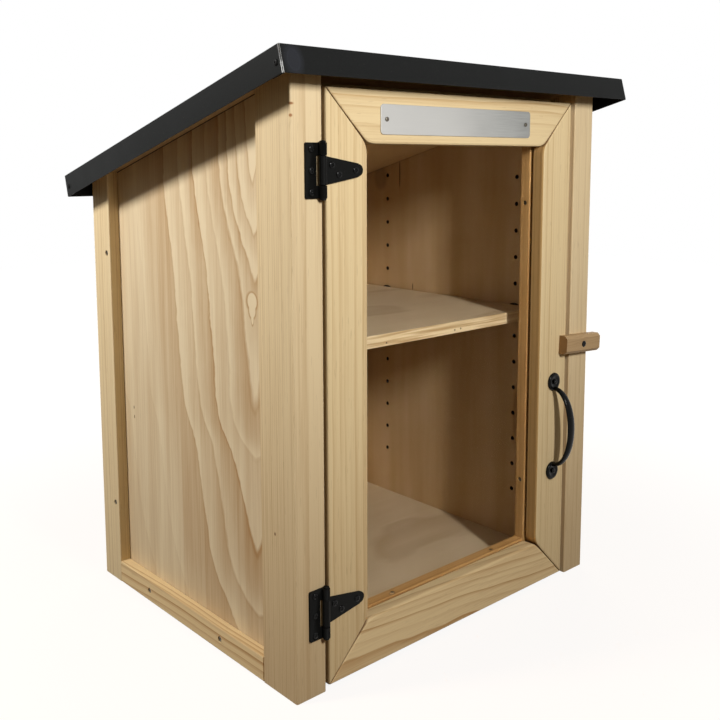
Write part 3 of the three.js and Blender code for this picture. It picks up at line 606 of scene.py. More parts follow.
@dataclass(frozen=True)
class BoardFinish:
    """Sawn pine, with year rings round a pith that lies beside or behind the board.

    The pith's place, the ring width and the wander are in millimetres. A mitred board has painted shade
    in the door's mitre grooves. Inward is the direction of the side that looks into the door's opening,
    which is painted browner as shade, and ends is the colour of the board's sawn ends: darker end
    grain with painted shade on it.
    """

    name: str
    axis: Axis
    pith_across: float
    pith_depth: float
    ring_width: float
    taper: float = 0.0
    wander: float = 6.0
    seed: float = 0.0
    tone: Tone = PINE
    spots: tuple[Spot, ...] = ()
    mitred: bool = False
    inward: Triple | None = None
    ends: Colour | None = None
    inward_shade_tint: ClassVar[Linear] = (0.78, 0.62, 0.43, 1.0)
    groove_shade: ClassVar[Colour] = (112, 76, 42)

    def build(self) -> bpy.types.Material:
        """Returns the board's material."""
        material, graph, shader = new_material(self.name)
        wood = WoodSurface(graph, shader, self.tone, self.seed)
        radius = graph.group(Effects.log_radius(), {
            "Position": wood.board_place(self.axis),
            "Offset": wood.offset,
            "Pith Across": self.pith_across * MM,
            "Pith Depth": self.pith_depth * MM,
            "Taper": self.taper,
            "Wander": self.wander * MM,
        })["Radius"]
        rings = {"Radius": radius, "Ring Width": self.ring_width * MM, "Seed": self.seed}
        late = graph.group(Effects.rings(), rings)["Late Wood"]
        colour = wood.dress(late, self.axis, self.spots)
        if self.mitred:
            # Painted shade in the mitre grooves.
            groove_shade = graph.group(Effects.mitre(), {"Position": wood.place})["Groove"]
            colour = graph.mix(groove_shade, colour, linear(self.groove_shade))
        # Painted shade on the side that looks into the door's opening.
        if self.inward is not None:
            towards = graph.vector("DOT_PRODUCT", graph.outward(), self.inward).outputs["Value"]
            colour = graph.mix(graph.span(towards, 0.55, 0.9), colour, self.inward_shade_tint, "MULTIPLY")
        # The sawn ends: darker end grain, with painted shade on it.
        if self.ends is not None:
            along = graph.separate(graph.outward())[self.axis.name]
            square = graph.span(graph.math("ABSOLUTE", along), 0.8, 0.9)
            colour = graph.mix(square, colour, linear(self.ends))
        graph.feed(shader.inputs["Base Color"], colour)
        return material


class PanelGrain:
    """The flat-sawn figure of the side panels: long arches that stand one inside another.

    Radii, reaches, span, tall and deepest are in millimetres. The curve of depth shares gives the
    depth under the log's surface, of the deepest, at each share of the height, of tall.
    """

    radii = (10, 30, 48, 64, 92, 118, 150, 184, 262, 330)
    strengths = (0.8, 0.9, 1.0, 1.0, 0.45, 1.0, 0.7, 0.9, 0.2, 0.2)
    span = 400.0
    tall = 660.0
    deepest = 200.0
    sharpness = 1.4
    depth_shares = (
        (0.0, 0.9), (0.067, 0.80), (0.164, 0.625), (0.29, 0.54), (0.36, 0.475), (0.433, 0.34),
        (0.555, 0.29), (0.67, 0.24), (0.75, 0.15), (0.85, 0.04), (1.0, 0.0),
    )
    line_start = -0.5
    line_peak = 0.6
    line_end = 2.4
    line_strength = 0.3
    heart_grey = 0.15
    early_grey = 0.02
    edge_share = 0.7
    middle_share = 0.42
    # Cells in a metre across, into and along the panel, detail, roughness and reach
    waver = (
        ((9.0, 1.0, 6.0), 1.0, 0.5, 16.0),
        ((60.0, 1.0, 38.0), 2.0, 0.6, 7.0),
        ((260.0, 1.0, 110.0), 1.0, 0.5, 1.6),
    )

    @classmethod
    def ramp_stops(cls) -> list[Point]:
        """Returns the ramp of late wood over the arches' radii: a sharp dark edge, then a slow fade."""
        stops = [(0.0, cls.heart_grey)]
        edges = (*cls.radii, cls.span)
        for here, beyond, strength in zip(edges, edges[1:], cls.strengths):
            stops.append(((here + cls.line_start) / cls.span, cls.early_grey))
            stops.append(((here + cls.line_peak) / cls.span, cls.edge_share * strength))
            stops.append(((here + beyond) / 2 / cls.span, cls.middle_share * strength))
        return stops

    @classmethod
    def line_stops(cls) -> list[Point]:
        """Returns the ramp of the thin dark line that each arch begins with."""
        shape = ((cls.line_start, 0.0), (cls.line_peak, 1.0), (cls.line_end, 0.0))
        lines = zip(cls.radii, cls.strengths)
        return [((at + out) / cls.span, height * strength) for at, strength in lines for out, height in shape]

    @classmethod
    def depth(cls, graph: Graph, along: Socket) -> Socket:
        """Returns how deep under the log's surface the panel lies at each height.

        Args:
            graph: The graph to draw in.
            along: The height on the panel.

        Returns:
            The depth in metres.
        """
        curve = graph.add("ShaderNodeFloatCurve")
        points = curve.mapping.curves[0].points
        while len(points) < len(cls.depth_shares):
            points.new(0.5, 0.5)
        for point, share in zip(points, cls.depth_shares):
            point.location = share
        curve.mapping.update()
        graph.feed(curve.inputs["Value"], graph.math("DIVIDE", along, cls.tall * MM))
        return graph.math("MULTIPLY", curve.outputs[0], cls.deepest * MM)

    @classmethod
    def group(cls) -> bpy.types.NodeTree:
        """Returns the group that draws the arches from a place beside and along their middle line."""

        def draw(graph: Graph, given: Any) -> dict[str, Socket]:
            across, along = given["Across"], given["Along"]
            place = graph.moved(graph.combine(across, 0.0, along), given["Offset"])
            for cells, detail, rough, reach in cls.waver:
                across = graph.swing(graph.grain(place, cells, detail, rough), reach * MM, across)
            sides = (graph.math("ABSOLUTE", across), cls.depth(graph, along))
            powers = [graph.math("POWER", side, cls.sharpness) for side in sides]
            radius = graph.math("POWER", graph.math("ADD", *powers), 1 / cls.sharpness)
            share = graph.math("DIVIDE", radius, cls.span * MM)
            late = graph.ramp(share, cls.ramp_stops())
            line = graph.ramp(share, cls.line_stops())
            return {"Late Wood": graph.math("MULTIPLY_ADD", line, cls.line_strength, late)}

        inputs = {"Across": 0.0, "Along": 0.0, "Offset": ORIGIN}
        return shared_group("panel_arches", inputs, ("Late Wood",), draw)


@dataclass(frozen=True)
class PanelFinish:
    """A plywood panel with arched grain outside, and inside a quieter face painted darker and browner as
    shade.

    In millimetres: the middle line of the arches from the body's corner, the arches' shift upward,
    and the inner face along its own axis from the body's middle, so that its sign tells its side.
    """

    name: str
    across: str
    middle: float
    shift: float = 0.0
    seed: float = 0.0
    inner_axis: str = "X"
    inner_face: float = -225.5
    spots: tuple[Spot, ...] = ()
    eye: tuple[Spot, ...] = ()
    inner: ClassVar[Tone] = SHADED_INNER
    recess_shade: ClassVar[Colour] = (46, 32, 22)
    hole_depth: ClassVar[float] = 10.0
    mottle: ClassVar[Triple] = (16.0, 16.0, 1.6)
    seam: ClassVar[Point] = (0.8, 1.6)
    seam_inside: ClassVar[float] = 0.25
    seam_outside: ClassVar[float] = 0.85

    def build(self) -> bpy.types.Material:
        """Returns the panel's material."""
        material, graph, shader = new_material(self.name)
        wood = WoodSurface(graph, shader, PANEL, self.seed)
        parts = graph.separate(wood.place)
        corner = Cabinet.place(self.middle, self.middle, 0.0)
        late = graph.group(PanelGrain.group(), {
            "Across": graph.math("SUBTRACT", parts[self.across], getattr(corner, self.across.lower())),
            "Along": graph.math("ADD", parts["Z"], self.shift * MM),
            "Offset": wood.offset,
        })["Late Wood"]
        if self.eye:
            late = self.with_eye(wood, late)
        away = graph.math("MULTIPLY", parts[self.inner_axis], math.copysign(1.0, self.inner_face))
        behind = graph.math("SUBTRACT", away, abs(self.inner_face) * MM)
        inside = graph.span(behind, 0.05 * MM, 0.15 * MM, 1.0, 0.0)
        skin = graph.span(behind, (self.hole_depth + 0.2) * MM, (self.hole_depth + 0.6) * MM)
        colour = wood.dress(late, Axis.Z, self.spots, skin)
        mottle = graph.span(graph.grain(wood.place, self.mottle, 3.0, 0.6), 0.3, 0.7)
        shaded_inside = wood.marked(graph.between(mottle, self.inner.pale, self.inner.deep), self.spots)
        # Painted shade: faces within the panel's thickness, such as the walls of its pin holes, are dark
        # brown.
        core = graph.mix(inside, linear(self.recess_shade), shaded_inside)
        colour = graph.mix(skin, core, colour)
        # Painted shade in the seam under the roof board.
        colour = graph.mix(self.under_roof(graph, parts, skin), colour, linear(self.recess_shade))
        graph.feed(shader.inputs["Base Color"], colour)
        return material

    def under_roof(self, graph: Graph, parts: dict[str, Socket], skin: Socket) -> Socket:
        """Returns the painted shade in the seam where the panel meets the roof board.

        Args:
            graph: The material's graph.
            parts: The place's three components.
            skin: One outside the box and zero inside.

        Returns:
            The seam's strength.
        """
        head = Cabinet.place(0.0, 0.0, Cabinet.head_height)
        level = graph.math("MULTIPLY_ADD", parts["Y"], Cabinet.fall, parts["Z"])
        under = graph.math("SUBTRACT", head.z + head.y * Cabinet.fall, level)
        strength = graph.span(skin, 0.0, 1.0, self.seam_inside, self.seam_outside)
        return graph.span(under, self.seam[0] * MM, self.seam[1] * MM, strength, 0.0)

    def with_eye(self, wood: WoodSurface, late: Socket) -> Socket:
        """Parts the late wood round a small pale eye, which overlapping ovals make up.

        Args:
            wood: The panel's surface.
            late: The late wood without the eye.

        Returns:
            The late wood with a dark rim round the eye and none in it.
        """
        graph = wood.graph
        rim, core = 0.0, 0.0
        for oval in self.eye:
            masks = oval.masks(graph, wood.place)
            rim = graph.math("MAXIMUM", rim, masks["Ring"])
            core = graph.math("MAXIMUM", core, masks["Core"])
        return graph.math("MULTIPLY", graph.math("MAXIMUM", late, rim), graph.math("SUBTRACT", 1.0, core))


@dataclass(frozen=True)
class VeneerFinish:
    """Rotary-cut plywood: wide soft tongues of grain wandering over a board, and a plain sawn edge."""

    name: str
    axis: Axis
    seed: float
    tone: Tone = VENEER
    spots: tuple[Spot, ...] = ()
    edge: ClassVar[Tone] = PINE
    cycles: ClassVar[float] = 4.0
    tongues: ClassVar[Triple] = (7.0, 7.0, 3.2)
    ripples: ClassVar[Triple] = (50.0, 50.0, 20.0)
    ripple_share: ClassVar[float] = 0.03
    plies: ClassVar[Triple] = (12.0, 12.0, 420.0)
    late_stops: ClassVar[tuple[Point, ...]] = ((0.0, 0.0), (0.35, 0.25), (0.74, 0.9), (0.86, 1.0), (1.0, 0.0))

    def build(self) -> bpy.types.Material:
        """Returns the board's material."""
        material, graph, shader = new_material(self.name)
        wood = WoodSurface(graph, shader, self.tone, self.seed)
        place = graph.moved(wood.board_place(self.axis), wood.offset)
        depth = graph.grain(place, self.tongues, 2.0, 0.45)
        depth = graph.math("MULTIPLY_ADD", graph.grain(place, self.ripples), self.ripple_share, depth)
        part = graph.math("FRACT", graph.math("MULTIPLY", depth, self.cycles))
        colour = wood.dress(graph.ramp(part, self.late_stops), self.axis, self.spots)
        upright = graph.math("ABSOLUTE", graph.separate(graph.outward())["Z"])
        flat = graph.span(upright, 0.4, 0.6)
        plies = graph.span(graph.grain(wood.place, self.plies), 0.35, 0.75)
        side = wood.marked(graph.between(plies, self.edge.pale, self.edge.deep), self.spots)
        graph.feed(shader.inputs["Base Color"], graph.mix(flat, side, colour))
        return material


@dataclass(frozen=True)
class PaintedMetal:
    """A dark powder coat or japanned iron, with fine grain and a little dust."""

    name: str
    colour: Colour
    lighter: Colour
    rough: float
    specular: float
    bump: float = 0.25
    dust: ClassVar[Colour] = (120, 116, 108)
    dust_strength: ClassVar[float] = 0.25

    def build(self) -> bpy.types.Material:
        """Returns the material."""
        material, graph, shader = new_material(self.name)
        inputs, place = shader.inputs, graph.place()
        paint = graph.group(Effects.speckle(), {"Position": place})
        colour = graph.between(paint["Grain"], self.colour, self.lighter)
        dust = graph.math("MULTIPLY", paint["Dust"], self.dust_strength)
        colour = graph.mix(dust, colour, linear(self.dust))
        graph.feed(inputs["Base Color"], self.wear_and_reflection(graph, place, colour))
        graph.feed(inputs["Roughness"], graph.math("MULTIPLY_ADD", paint["Cloud"], 0.08, self.rough))
        inputs["Specular IOR Level"].default_value = self.specular
        graph.feed(inputs["Normal"], graph.relief(paint["Grain"], self.bump, 0.04))
        return material

    def wear_and_reflection(self, graph: Graph, place: Socket, colour: Socket) -> Socket:
        """Returns the paint's colour with its wear and painted reflection, of which plain iron has none."""
        return colour


@dataclass(frozen=True)
class CapSheet(PaintedMetal):
    """The roof cap's coated sheet, bare along its cut corners, with a painted reflection beside the front
    left one.

    Half is half the width between the bends, and cut is how far the front flange's cut edge lies
    along the slope, both in millimetres.
    """

    bare: ClassVar[Colour] = (206, 208, 210)
    reflection_tint: ClassVar[Colour] = (104, 108, 124)
    reflection_patch: ClassVar[Spot] = Spot((-16.3, -26.5, 665.4), (9, 12, 13), core_strength=0.1, ring_strength=0.07)
    half: ClassVar[float] = 285.8
    cut: ClassVar[float] = -25.9
    edge: ClassVar[Point] = (0.3, 0.45)
    fade: ClassVar[Point] = (5.0, 9.0)
    low_share: ClassVar[float] = 0.35

    def wear_and_reflection(self, graph: Graph, place: Socket, colour: Socket) -> Socket:
        """Lays bare cut edges and a soft painted reflection over the paint.

        Args:
            graph: The material's graph.
            place: The place on the piece.
            colour: The paint's colour.

        Returns:
            The colour to use.
        """
        parts = graph.separate(place)
        start = Cabinet.place(0.0, 0.0, Cabinet.head_height)
        near, far = self.edge
        along = graph.math("MULTIPLY", graph.math("SUBTRACT", parts["Y"], start.y), math.cos(Cabinet.slope))
        drop = graph.math("SUBTRACT", parts["Z"], start.z)
        along = graph.math("MULTIPLY_ADD", drop, -math.sin(Cabinet.slope), along)
        side = graph.math("ABSOLUTE", parts["X"])
        across = graph.span(side, (self.half - far) * MM, (self.half - near) * MM)
        ahead = graph.span(along, (self.cut + near) * MM, (self.cut + far) * MM, 1.0, 0.0)
        height = graph.math("MULTIPLY_ADD", along, -Cabinet.fall, drop)
        below = graph.span(height, self.fade[0] * MM, self.fade[1] * MM, 1.0, self.low_share)
        edge = graph.math("MULTIPLY", graph.math("MULTIPLY", across, ahead), below)
        # Painted reflection: a soft bluish patch on the front flange beside the left corner.
        masks = self.reflection_patch.masks(graph, place)
        reflection_mask = graph.math("MULTIPLY", masks["Ring"], self.reflection_patch.ring_strength)
        reflection_mask = graph.math("MULTIPLY_ADD", masks["Core"], self.reflection_patch.core_strength, reflection_mask)
        return graph.mix(reflection_mask, graph.mix(edge, colour, linear(self.bare)), linear(self.reflection_tint))


@dataclass(frozen=True)
class BrushedMetal:
    """Bare metal brushed along X. Where it has painted sheen, a painted reflection makes it paler towards the
    left.
    """

    name: str
    colour: Colour
    lighter: Colour
    painted_sheen: float = 0.0
    pale: ClassVar[Colour] = (202, 200, 195)
    sheen_span: ClassVar[Point] = (-40.0, 110.0)
    brushing: ClassVar[Triple] = (25.0, 2500.0, 2500.0)
    cloud: ClassVar[Triple] = (14.0, 30.0, 30.0)
    line_share: ClassVar[float] = 0.6

    def build(self) -> bpy.types.Material:
        """Returns the material."""
        material, graph, shader = new_material(self.name)
        inputs, place = shader.inputs, graph.place()
        lines = graph.grain(place, self.brushing, 3.0)
        cloud = graph.math("MULTIPLY", graph.grain(place, self.cloud), 1.0 - self.line_share)
        tone = graph.span(graph.math("MULTIPLY_ADD", lines, self.line_share, cloud), 0.3, 0.7)
        # Painted reflection: the colour is mixed towards a paler one at the plate's left end.
        start, end = (x * MM for x in self.sheen_span)
        painted_sheen = graph.span(graph.separate(place)["X"], start, end, self.painted_sheen, 0.0)
        colour = graph.between(tone, self.colour, self.lighter)
        graph.feed(inputs["Base Color"], graph.mix(painted_sheen, colour, linear(self.pale)))
        graph.feed(inputs["Roughness"], graph.math("MULTIPLY_ADD", lines, 0.14, 0.34))
        inputs["Metallic"].default_value = 1.0
        graph.feed(inputs["Normal"], graph.relief(lines, 0.2, 0.02))
        return material


@dataclass(frozen=True)
class DarkPlastic:
    """The moulded brown-black plastic of the shelf supports."""

    name: str
    colour: Colour
    lighter: Colour

    def build(self) -> bpy.types.Material:
        """Returns the material."""
        material, graph, shader = new_material(self.name)
        inputs = shader.inputs
        paint = graph.group(Effects.speckle(), {"Position": graph.place()})
        graph.feed(inputs["Base Color"], graph.between(paint["Cloud"], self.colour, self.lighter))
        graph.feed(inputs["Roughness"], graph.math("MULTIPLY_ADD", paint["Grain"], 0.1, 0.4))
        inputs["Specular IOR Level"].default_value = 0.3
        return material


@dataclass(frozen=True)
class ClearPane:
    """A clear acrylic pane with a few specks of dust, which lets light through without a shadow.

    Its refraction is less than acrylic's 1.49, because that would let lamp light in twice.
    """

    name: str
    tint: ClassVar[Colour] = (250, 248, 244)
    refraction: ClassVar[float] = 1.03
    dust_rough: ClassVar[float] = 0.04

    def build(self) -> bpy.types.Material:
        """Returns the material."""
        material, graph, shader = new_material(self.name)
        inputs = shader.inputs
        paint = graph.group(Effects.speckle(), {"Position": graph.place()})
        graph.feed(inputs["Base Color"], graph.mix(paint["Cloud"], linear(self.tint), WHITE))
        graph.feed(inputs["Roughness"], graph.math("MULTIPLY", paint["Dust"], self.dust_rough))
        inputs["Transmission Weight"].default_value = 1.0
        inputs["IOR"].default_value = self.refraction
        clear = graph.add("ShaderNodeBsdfTransparent").outputs[0]
        shadow = graph.add("ShaderNodeLightPath").outputs["Is Shadow Ray"]
        both = graph.add("ShaderNodeMixShader", {0: shadow, 1: shader.outputs[0], 2: clear})
        output = next(node for node in material.node_tree.nodes if node.type == "OUTPUT_MATERIAL")
        graph.feed(output.inputs["Surface"], both.outputs[0])
        return material


class Shop:
    """Meshes made in code: lathed, extruded, swept and joined, then eased along their edges."""

    sharp_angle = math.radians(35)

    @staticmethod
    def shown(name: str, mesh: bpy.types.Mesh, place: Matrix | None = None) -> bpy.types.Object:
        """Shows a mesh.

        Args:
            name: The object's name.
            mesh: The mesh.
            place: Where it stands, which is the row frame's origin unless given.

        Returns:
            The linked object.
        """
        piece = bpy.data.objects.new(name, mesh)
        piece.matrix_world = place or Matrix.Identity(4)
        bpy.context.scene.collection.objects.link(piece)
        return piece

    @staticmethod
    def mesh_from(name: str, made: bmesh.types.BMesh) -> bpy.types.Mesh:
        """Turns a finished bmesh into a smooth-shaded mesh, with its faces turned out.

        Args:
            name: The mesh's name.
            made: The bmesh, which is used up.

        Returns:
            The mesh.
        """
        bmesh.ops.recalc_face_normals(made, faces=made.faces)
        mesh = bpy.data.meshes.new(name)
        made.to_mesh(mesh)
        made.free()
        mesh.shade_smooth()
        return mesh

    @classmethod
    def lathed(cls, name: str, profile: Iterable[Sequence[float]], facets: int = 28) -> bpy.types.Mesh:
        """Turns a profile round Z.

        Args:
            name: The mesh's name.
            profile: Radius and height of each point, in millimetres, from axis to axis.
            facets: Steps round the axis.

        Returns:
            The closed mesh.
        """
        made = bmesh.new()
        rings: list[list[bmesh.types.BMVert]] = []
        for radius, height in in_metres(profile):
            if radius == 0:
                rings.append([made.verts.new((0.0, 0.0, height))])
                continue
            turns = [math.tau * step / facets for step in range(facets)]
            rings.append([
                made.verts.new((radius * math.cos(turn), radius * math.sin(turn), height)) for turn in turns
            ])
        for low, high in zip(rings, rings[1:]):
            for step in range(facets):
                after = (step + 1) % facets
                corners = [low[step % len(low)], low[after % len(low)]]
                corners += [high[after % len(high)], high[step % len(high)]]
                made.faces.new(list(dict.fromkeys(corners)))
        return cls.mesh_from(name, made)

    @classmethod
    def extruded(
        cls, name: str, outline: Iterable[Sequence[float]], low: float, high: float
    ) -> bpy.types.Mesh:
        """Extrudes an outline along Z, all in millimetres.

        Args:
            name: The mesh's name.
            outline: The corners in X and Y, in order.
            low: Where the prism starts on Z.
            high: Where it ends.

        Returns:
            The closed mesh.
        """
        made = bmesh.new()
        corners = in_metres(outline)
        foot, head = ([made.verts.new((x, y, z * MM)) for x, y in corners] for z in (low, high))
        made.faces.new(foot[::-1])
        made.faces.new(head)
        for step in range(len(corners)):
            after = (step + 1) % len(corners)
            made.faces.new((foot[step], foot[after], head[after], head[step]))
        return cls.mesh_from(name, made)

    @classmethod
    def swept(cls, name: str, rings: Sequence[Sequence[Vector]]) -> bpy.types.Mesh:
        """Skins a row of rings and closes both ends.

        Args:
            name: The mesh's name.
            rings: Rings of the same number of points, in metres, in order.

        Returns:
            The closed mesh.
        """
        made = bmesh.new()
        rows = [[made.verts.new(point) for point in ring] for ring in rings]
        for low, high in zip(rows, rows[1:]):
            for step in range(len(low)):
                after = (step + 1) % len(low)
                made.faces.new((low[step], low[after], high[after], high[step]))
        made.faces.new(rows[0][::-1])
        made.faces.new(rows[-1])
        return cls.mesh_from(name, made)

    @classmethod
    def eased(cls, piece: bpy.types.Object, width: float, steps: int = 1) -> None:
        """Rounds a piece's sharp edges, and keeps its flat faces flat.

        Args:
            piece: The piece.
            width: The rounding's width in millimetres.
            steps: How many faces round it.
        """
        bevel = piece.modifiers.new("ease", "BEVEL")
        bevel.width = width * MM
        bevel.segments = steps
        bevel.limit_method = "ANGLE"
        bevel.angle_limit = cls.sharp_angle
        bevel.harden_normals = True

    @staticmethod
    def applied(piece: bpy.types.Object) -> bpy.types.Object:
        """Fixes a piece's modifiers into its mesh.

        Args:
            piece: The piece.

        Returns:
            The same piece.
        """
        graph = bpy.context.evaluated_depsgraph_get()
        mesh = bpy.data.meshes.new_from_object(piece.evaluated_get(graph))
        piece.modifiers.clear()
        piece.data = mesh
        return piece

    @classmethod
    def combined(
        cls, piece: bpy.types.Object, others: Sequence[bpy.types.Object], operation: str = "UNION"
    ) -> bpy.types.Object:
        """Joins other pieces to one, or cuts them from it.

        Args:
            piece: The piece that stays.
            others: The pieces that are used up.
            operation: UNION or DIFFERENCE.

        Returns:
            The piece with its new mesh.
        """
        for other in others:
            step = piece.modifiers.new(other.name, "BOOLEAN")
            step.operation = operation
            step.object = other
            step.solver = "EXACT"
        bpy.context.view_layer.update()
        cls.applied(piece)
        for other in others:
            bpy.data.objects.remove(other)
        piece.data.shade_smooth()
        return piece

    @classmethod
    def finished(cls, blank: bpy.types.Object, width: float, steps: int = 1) -> bpy.types.Mesh:
        """Eases a blank, keeps its mesh and removes it.

        Args:
            blank: The blank.
            width: The rounding's width in millimetres.
            steps: How many faces round it.

        Returns:
            The eased mesh.
        """
        cls.eased(blank, width, steps)
        mesh = cls.applied(blank).data
        bpy.data.objects.remove(blank)
        return mesh


@dataclass(frozen=True)
class Head:
    """The size of one kind of screw in millimetres, with a cross cut into its domed head."""

    radius: float
    rise: float
    shank: float = 1.6
    length: float = 8.0
    arm_share: ClassVar[float] = 0.62
    arm_width_share: ClassVar[float] = 0.26
    cross_share: ClassVar[float] = 0.3
    rim_share: ClassVar[float] = 0.25
    crown_steps: ClassVar[int] = 7
    ease: ClassVar[float] = 0.05

    def profile(self) -> list[Point]:
        """Returns the screw's profile, its head's underside at zero height."""
        turns = [math.pi / 2 * step / self.crown_steps for step in range(self.crown_steps)]
        domed = 1.0 - self.rim_share
        crown = [
            (self.radius * math.cos(turn), self.rise * (self.rim_share + domed * math.sin(turn)))
            for turn in turns
        ]
        points = [(0.0, -self.length), (self.shank, -self.length), (self.shank, 0.0), (self.radius, 0.0)]
        return [*points, *crown, (0.0, self.rise)]

    def mesh(self, name: str) -> bpy.types.Mesh:
        """Makes the screw's mesh, once for each kind.

        Args:
            name: The kind's name.

        Returns:
            The shared mesh.
        """
        found = bpy.data.meshes.get(name)
        if found is not None:
            return found
        screw = Shop.shown("screw_blank", Shop.lathed("screw_blank", self.profile()))
        arm = self.radius * self.arm_share
        half = self.radius * self.arm_width_share / 2
        bars = []
        for x, y in ((arm, half), (half, arm)):
            outline = [(-x, -y), (x, -y), (x, y), (-x, y)]
            bar = Shop.extruded("cross_bar", outline, self.rise * self.cross_share, self.rise * 2)
            bars.append(Shop.shown("cross_bar", bar))
        mesh = Shop.finished(Shop.combined(screw, bars, "DIFFERENCE"), self.ease)
        mesh.name = name
        return mesh


def paint(frame: dict[str, Any], node: str, material: bpy.types.Material) -> None:
    """Gives a CAD node its material.

    Args:
        frame: The loaded frame.
        node: The node's name.
        material: What it is made of.
    """
    slots = frame["nodes"][node].data.materials
    slots.clear()
    slots.append(material)
    LOG.info("%s: %s", node, material.name)


def settle(
    piece: bpy.types.Object, body: str, material: bpy.types.Material, nodes: Sequence[str] = ()
) -> None:
    """Puts a finished piece on its body, gives it its material and hides the CAD nodes that it replaces.

    Args:
        piece: The new piece.
        body: The body that it rides on.
        material: Its material.
        nodes: The CAD nodes that it replaces.
    """
    piece.data.materials.clear()
    piece.data.materials.append(material)
    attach(piece, body)
    if nodes:
        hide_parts(*nodes)
    LOG.info("%s on %s: %s", piece.name, body, material.name)


@dataclass
class Timber:
    """Dresses every wooden CAD node with a finish of its own."""

    frame: dict[str, Any]

    def boards(self) -> list[tuple[str, BoardFinish]]:
        """Returns each sawn board with its finish."""
        z, x, y = Axis.Z, Axis.X, Axis.Y
        right, left = Facing.RIGHT.value, Facing.LEFT.value
        barrel_mark, plug = (120, 78, 40), (3.4, 2.2, 3.0)
        left_spots = (
            # Brown spots just under each hinge barrel.
            Spot((36.7, -1.0, 532.4), (2.2, 4.0, 2.6), core=barrel_mark),
            Spot((35.5, -1.0, 59.0), (2.2, 4.0, 2.6), core=barrel_mark),
            Spot((0.0, 35.2, 178.4), (3.0, 1.4, 1.8)),
            Spot((0.6, 0.4, 627.7), (3.2, 3.0, 1.3), core=(150, 92, 44), ring=(190, 140, 88)),
            Spot((0.2, 0.4, 616.1), (2.2, 2.0, 1.6), core=(158, 100, 52), ring=(196, 150, 98)),
        )
        bead_spots = (Spot((163.3, 26.4, 61.5), plug, core=(206, 180, 138), ring=(84, 56, 34)),)
        # Node, short name, then the fields of BoardFinish from axis on
        rows: tuple[tuple[Any, ...], ...] = (
            ("front_post_left", "post_left", z, -255, -110, 3.6, 0.0, 6, 1, POST_PINE, left_spots),
            ("front_post_right", "post_right", z, 190, -60, 4.4, 0.0, 6, 2, POST_PINE),
            ("rear_trim_left", "rear_left", z, -330, 250, 4.0, 0.0, 6, 3),
            ("rear_trim_right", "rear_right", z, 330, 260, 4.0, 0.0, 6, 4),
            ("bottom_trim_left", "foot_left", y, -300, -20, 5.5, 0.02, 14, 5, BOLD_PINE),
            ("bottom_trim_right", "foot_right", y, 300, -20, 5.5, 0.02, 14, 6, BOLD_PINE),
            ("front_sill", "sill", x, -160, -60, 5.0, 0.0, 6, 7),
            ("front_header", "header", x, -160, 560, 5.0, 0.0, 6, 8),
            ("door_stile_left", "stile_left", z, -120, -330, 5.2, 0.0, 9, 9, DOOR_PINE, (), True, right),
            ("door_stile_right", "stile_right", z, 90, -320, 4.6, 0.0, 7, 10, DOOR_PINE, (), True, left),
            ("door_rail_top", "rail_top", x, -300, 590, 6.5, 0.0, 12, 11, DOOR_PINE, (), True),
            ("door_rail_bottom", "rail_bottom", x, -262, -10, 7.5, 0.08, 26, 12, BOLD_PINE, (), True),
            ("glazing_bead_left", "bead_left", z, -60, -300, 4.0, 0.0, 6, 13, SHADED_BEAD_PINE),
            ("glazing_bead_right", "bead_right", z, 60, -300, 4.0, 0.0, 6, 14, SHADED_BEAD_PINE),
            ("glazing_bead_top", "bead_top", x, -100, 660, 4.0, 0.0, 6, 15, SHADED_BEAD_PINE),
            ("glazing_bead_bottom", "bead_bottom", x, -100, -40, 4.0, 0.0, 6, 16, SHADED_BEAD_PINE, bead_spots),
        )
        button = BoardFinish("button_wood", x, -190, 250, 3.4, 0.0, 5, 17, BUTTON, ends=(136, 102, 62))
        pines = [(node, BoardFinish(f"pine_{name}", *rest)) for node, name, *rest in rows]
        return [*pines, ("turn_button", button)]

    def sheets(self) -> list[tuple[str, PanelFinish | VeneerFinish]]:
        """Returns each plywood piece with its finish."""
        plugs = tuple(Spot((15.0, y, z), (3.0, 1.2, 2.2)) for y, z in ((368.0, 247.0), (367.5, 234.4)))
        wall_spots = (
            Spot((481.0, 341.0, 551.0), (3.0, 1.4, 24.0), core=(50, 38, 28), ring_strength=0.2),
            Spot((481.0, 310.7, 372.0), (3.0, 1.2, 6.0), core=(70, 54, 38), ring_strength=0.2),
            # Painted shade: a soft grey-brown patch high at the rear of the right wall.
            Spot((481.0, 386.0, 546.0), (3.0, 12.0, 17.0), (96, 84, 66), (120, 100, 76), 0.3, 0.35),
            Spot((481.0, 98.0, 204.0), (3.0, 5.0, 38.0), (120, 80, 34), (150, 112, 62), 0.45, 0.3),
        )
        nails = tuple(
            Spot((x, 64.5, z), (1.3, 3.0, 1.3), core=(40, 26, 18), ring_strength=0.2)
            for x, z in ((190.4, 355.0), (311.3, 355.6), (322.6, 356.2))
        )
        eye = tuple(
            Spot((15.0, 91.5, z), (9.0, wide, tall))
            for z, wide, tall in ((420.0, 9.5, 10.5), (411.0, 6.6, 10.0), (403.0, 2.6, 9.0))
        )
        return [
            ("side_panel_left", PanelFinish("ply_left", "Y", 89, seed=0.3, spots=plugs, eye=eye)),
            ("side_panel_right", PanelFinish(
                "ply_right", "Y", 240, -60, seed=1.9, inner_face=225.5, spots=wall_spots)),
            ("back_panel", PanelFinish("ply_back", "X", 220, 20, seed=2.6, inner_axis="Y", inner_face=203.0)),
            ("floor_panel", VeneerFinish("ply_floor", Axis.X, 3.4)),
            ("shelf", VeneerFinish("ply_shelf", Axis.X, 4.1, spots=nails)),
            ("roof_board", VeneerFinish("ply_roof", Axis.Y, 5.2, SHADED_INNER)),
        ]

    def build(self) -> None:
        """Gives every wooden node its material."""
        for node, finish in (*self.boards(), *self.sheets()):
            paint(self.frame, node, finish.build())


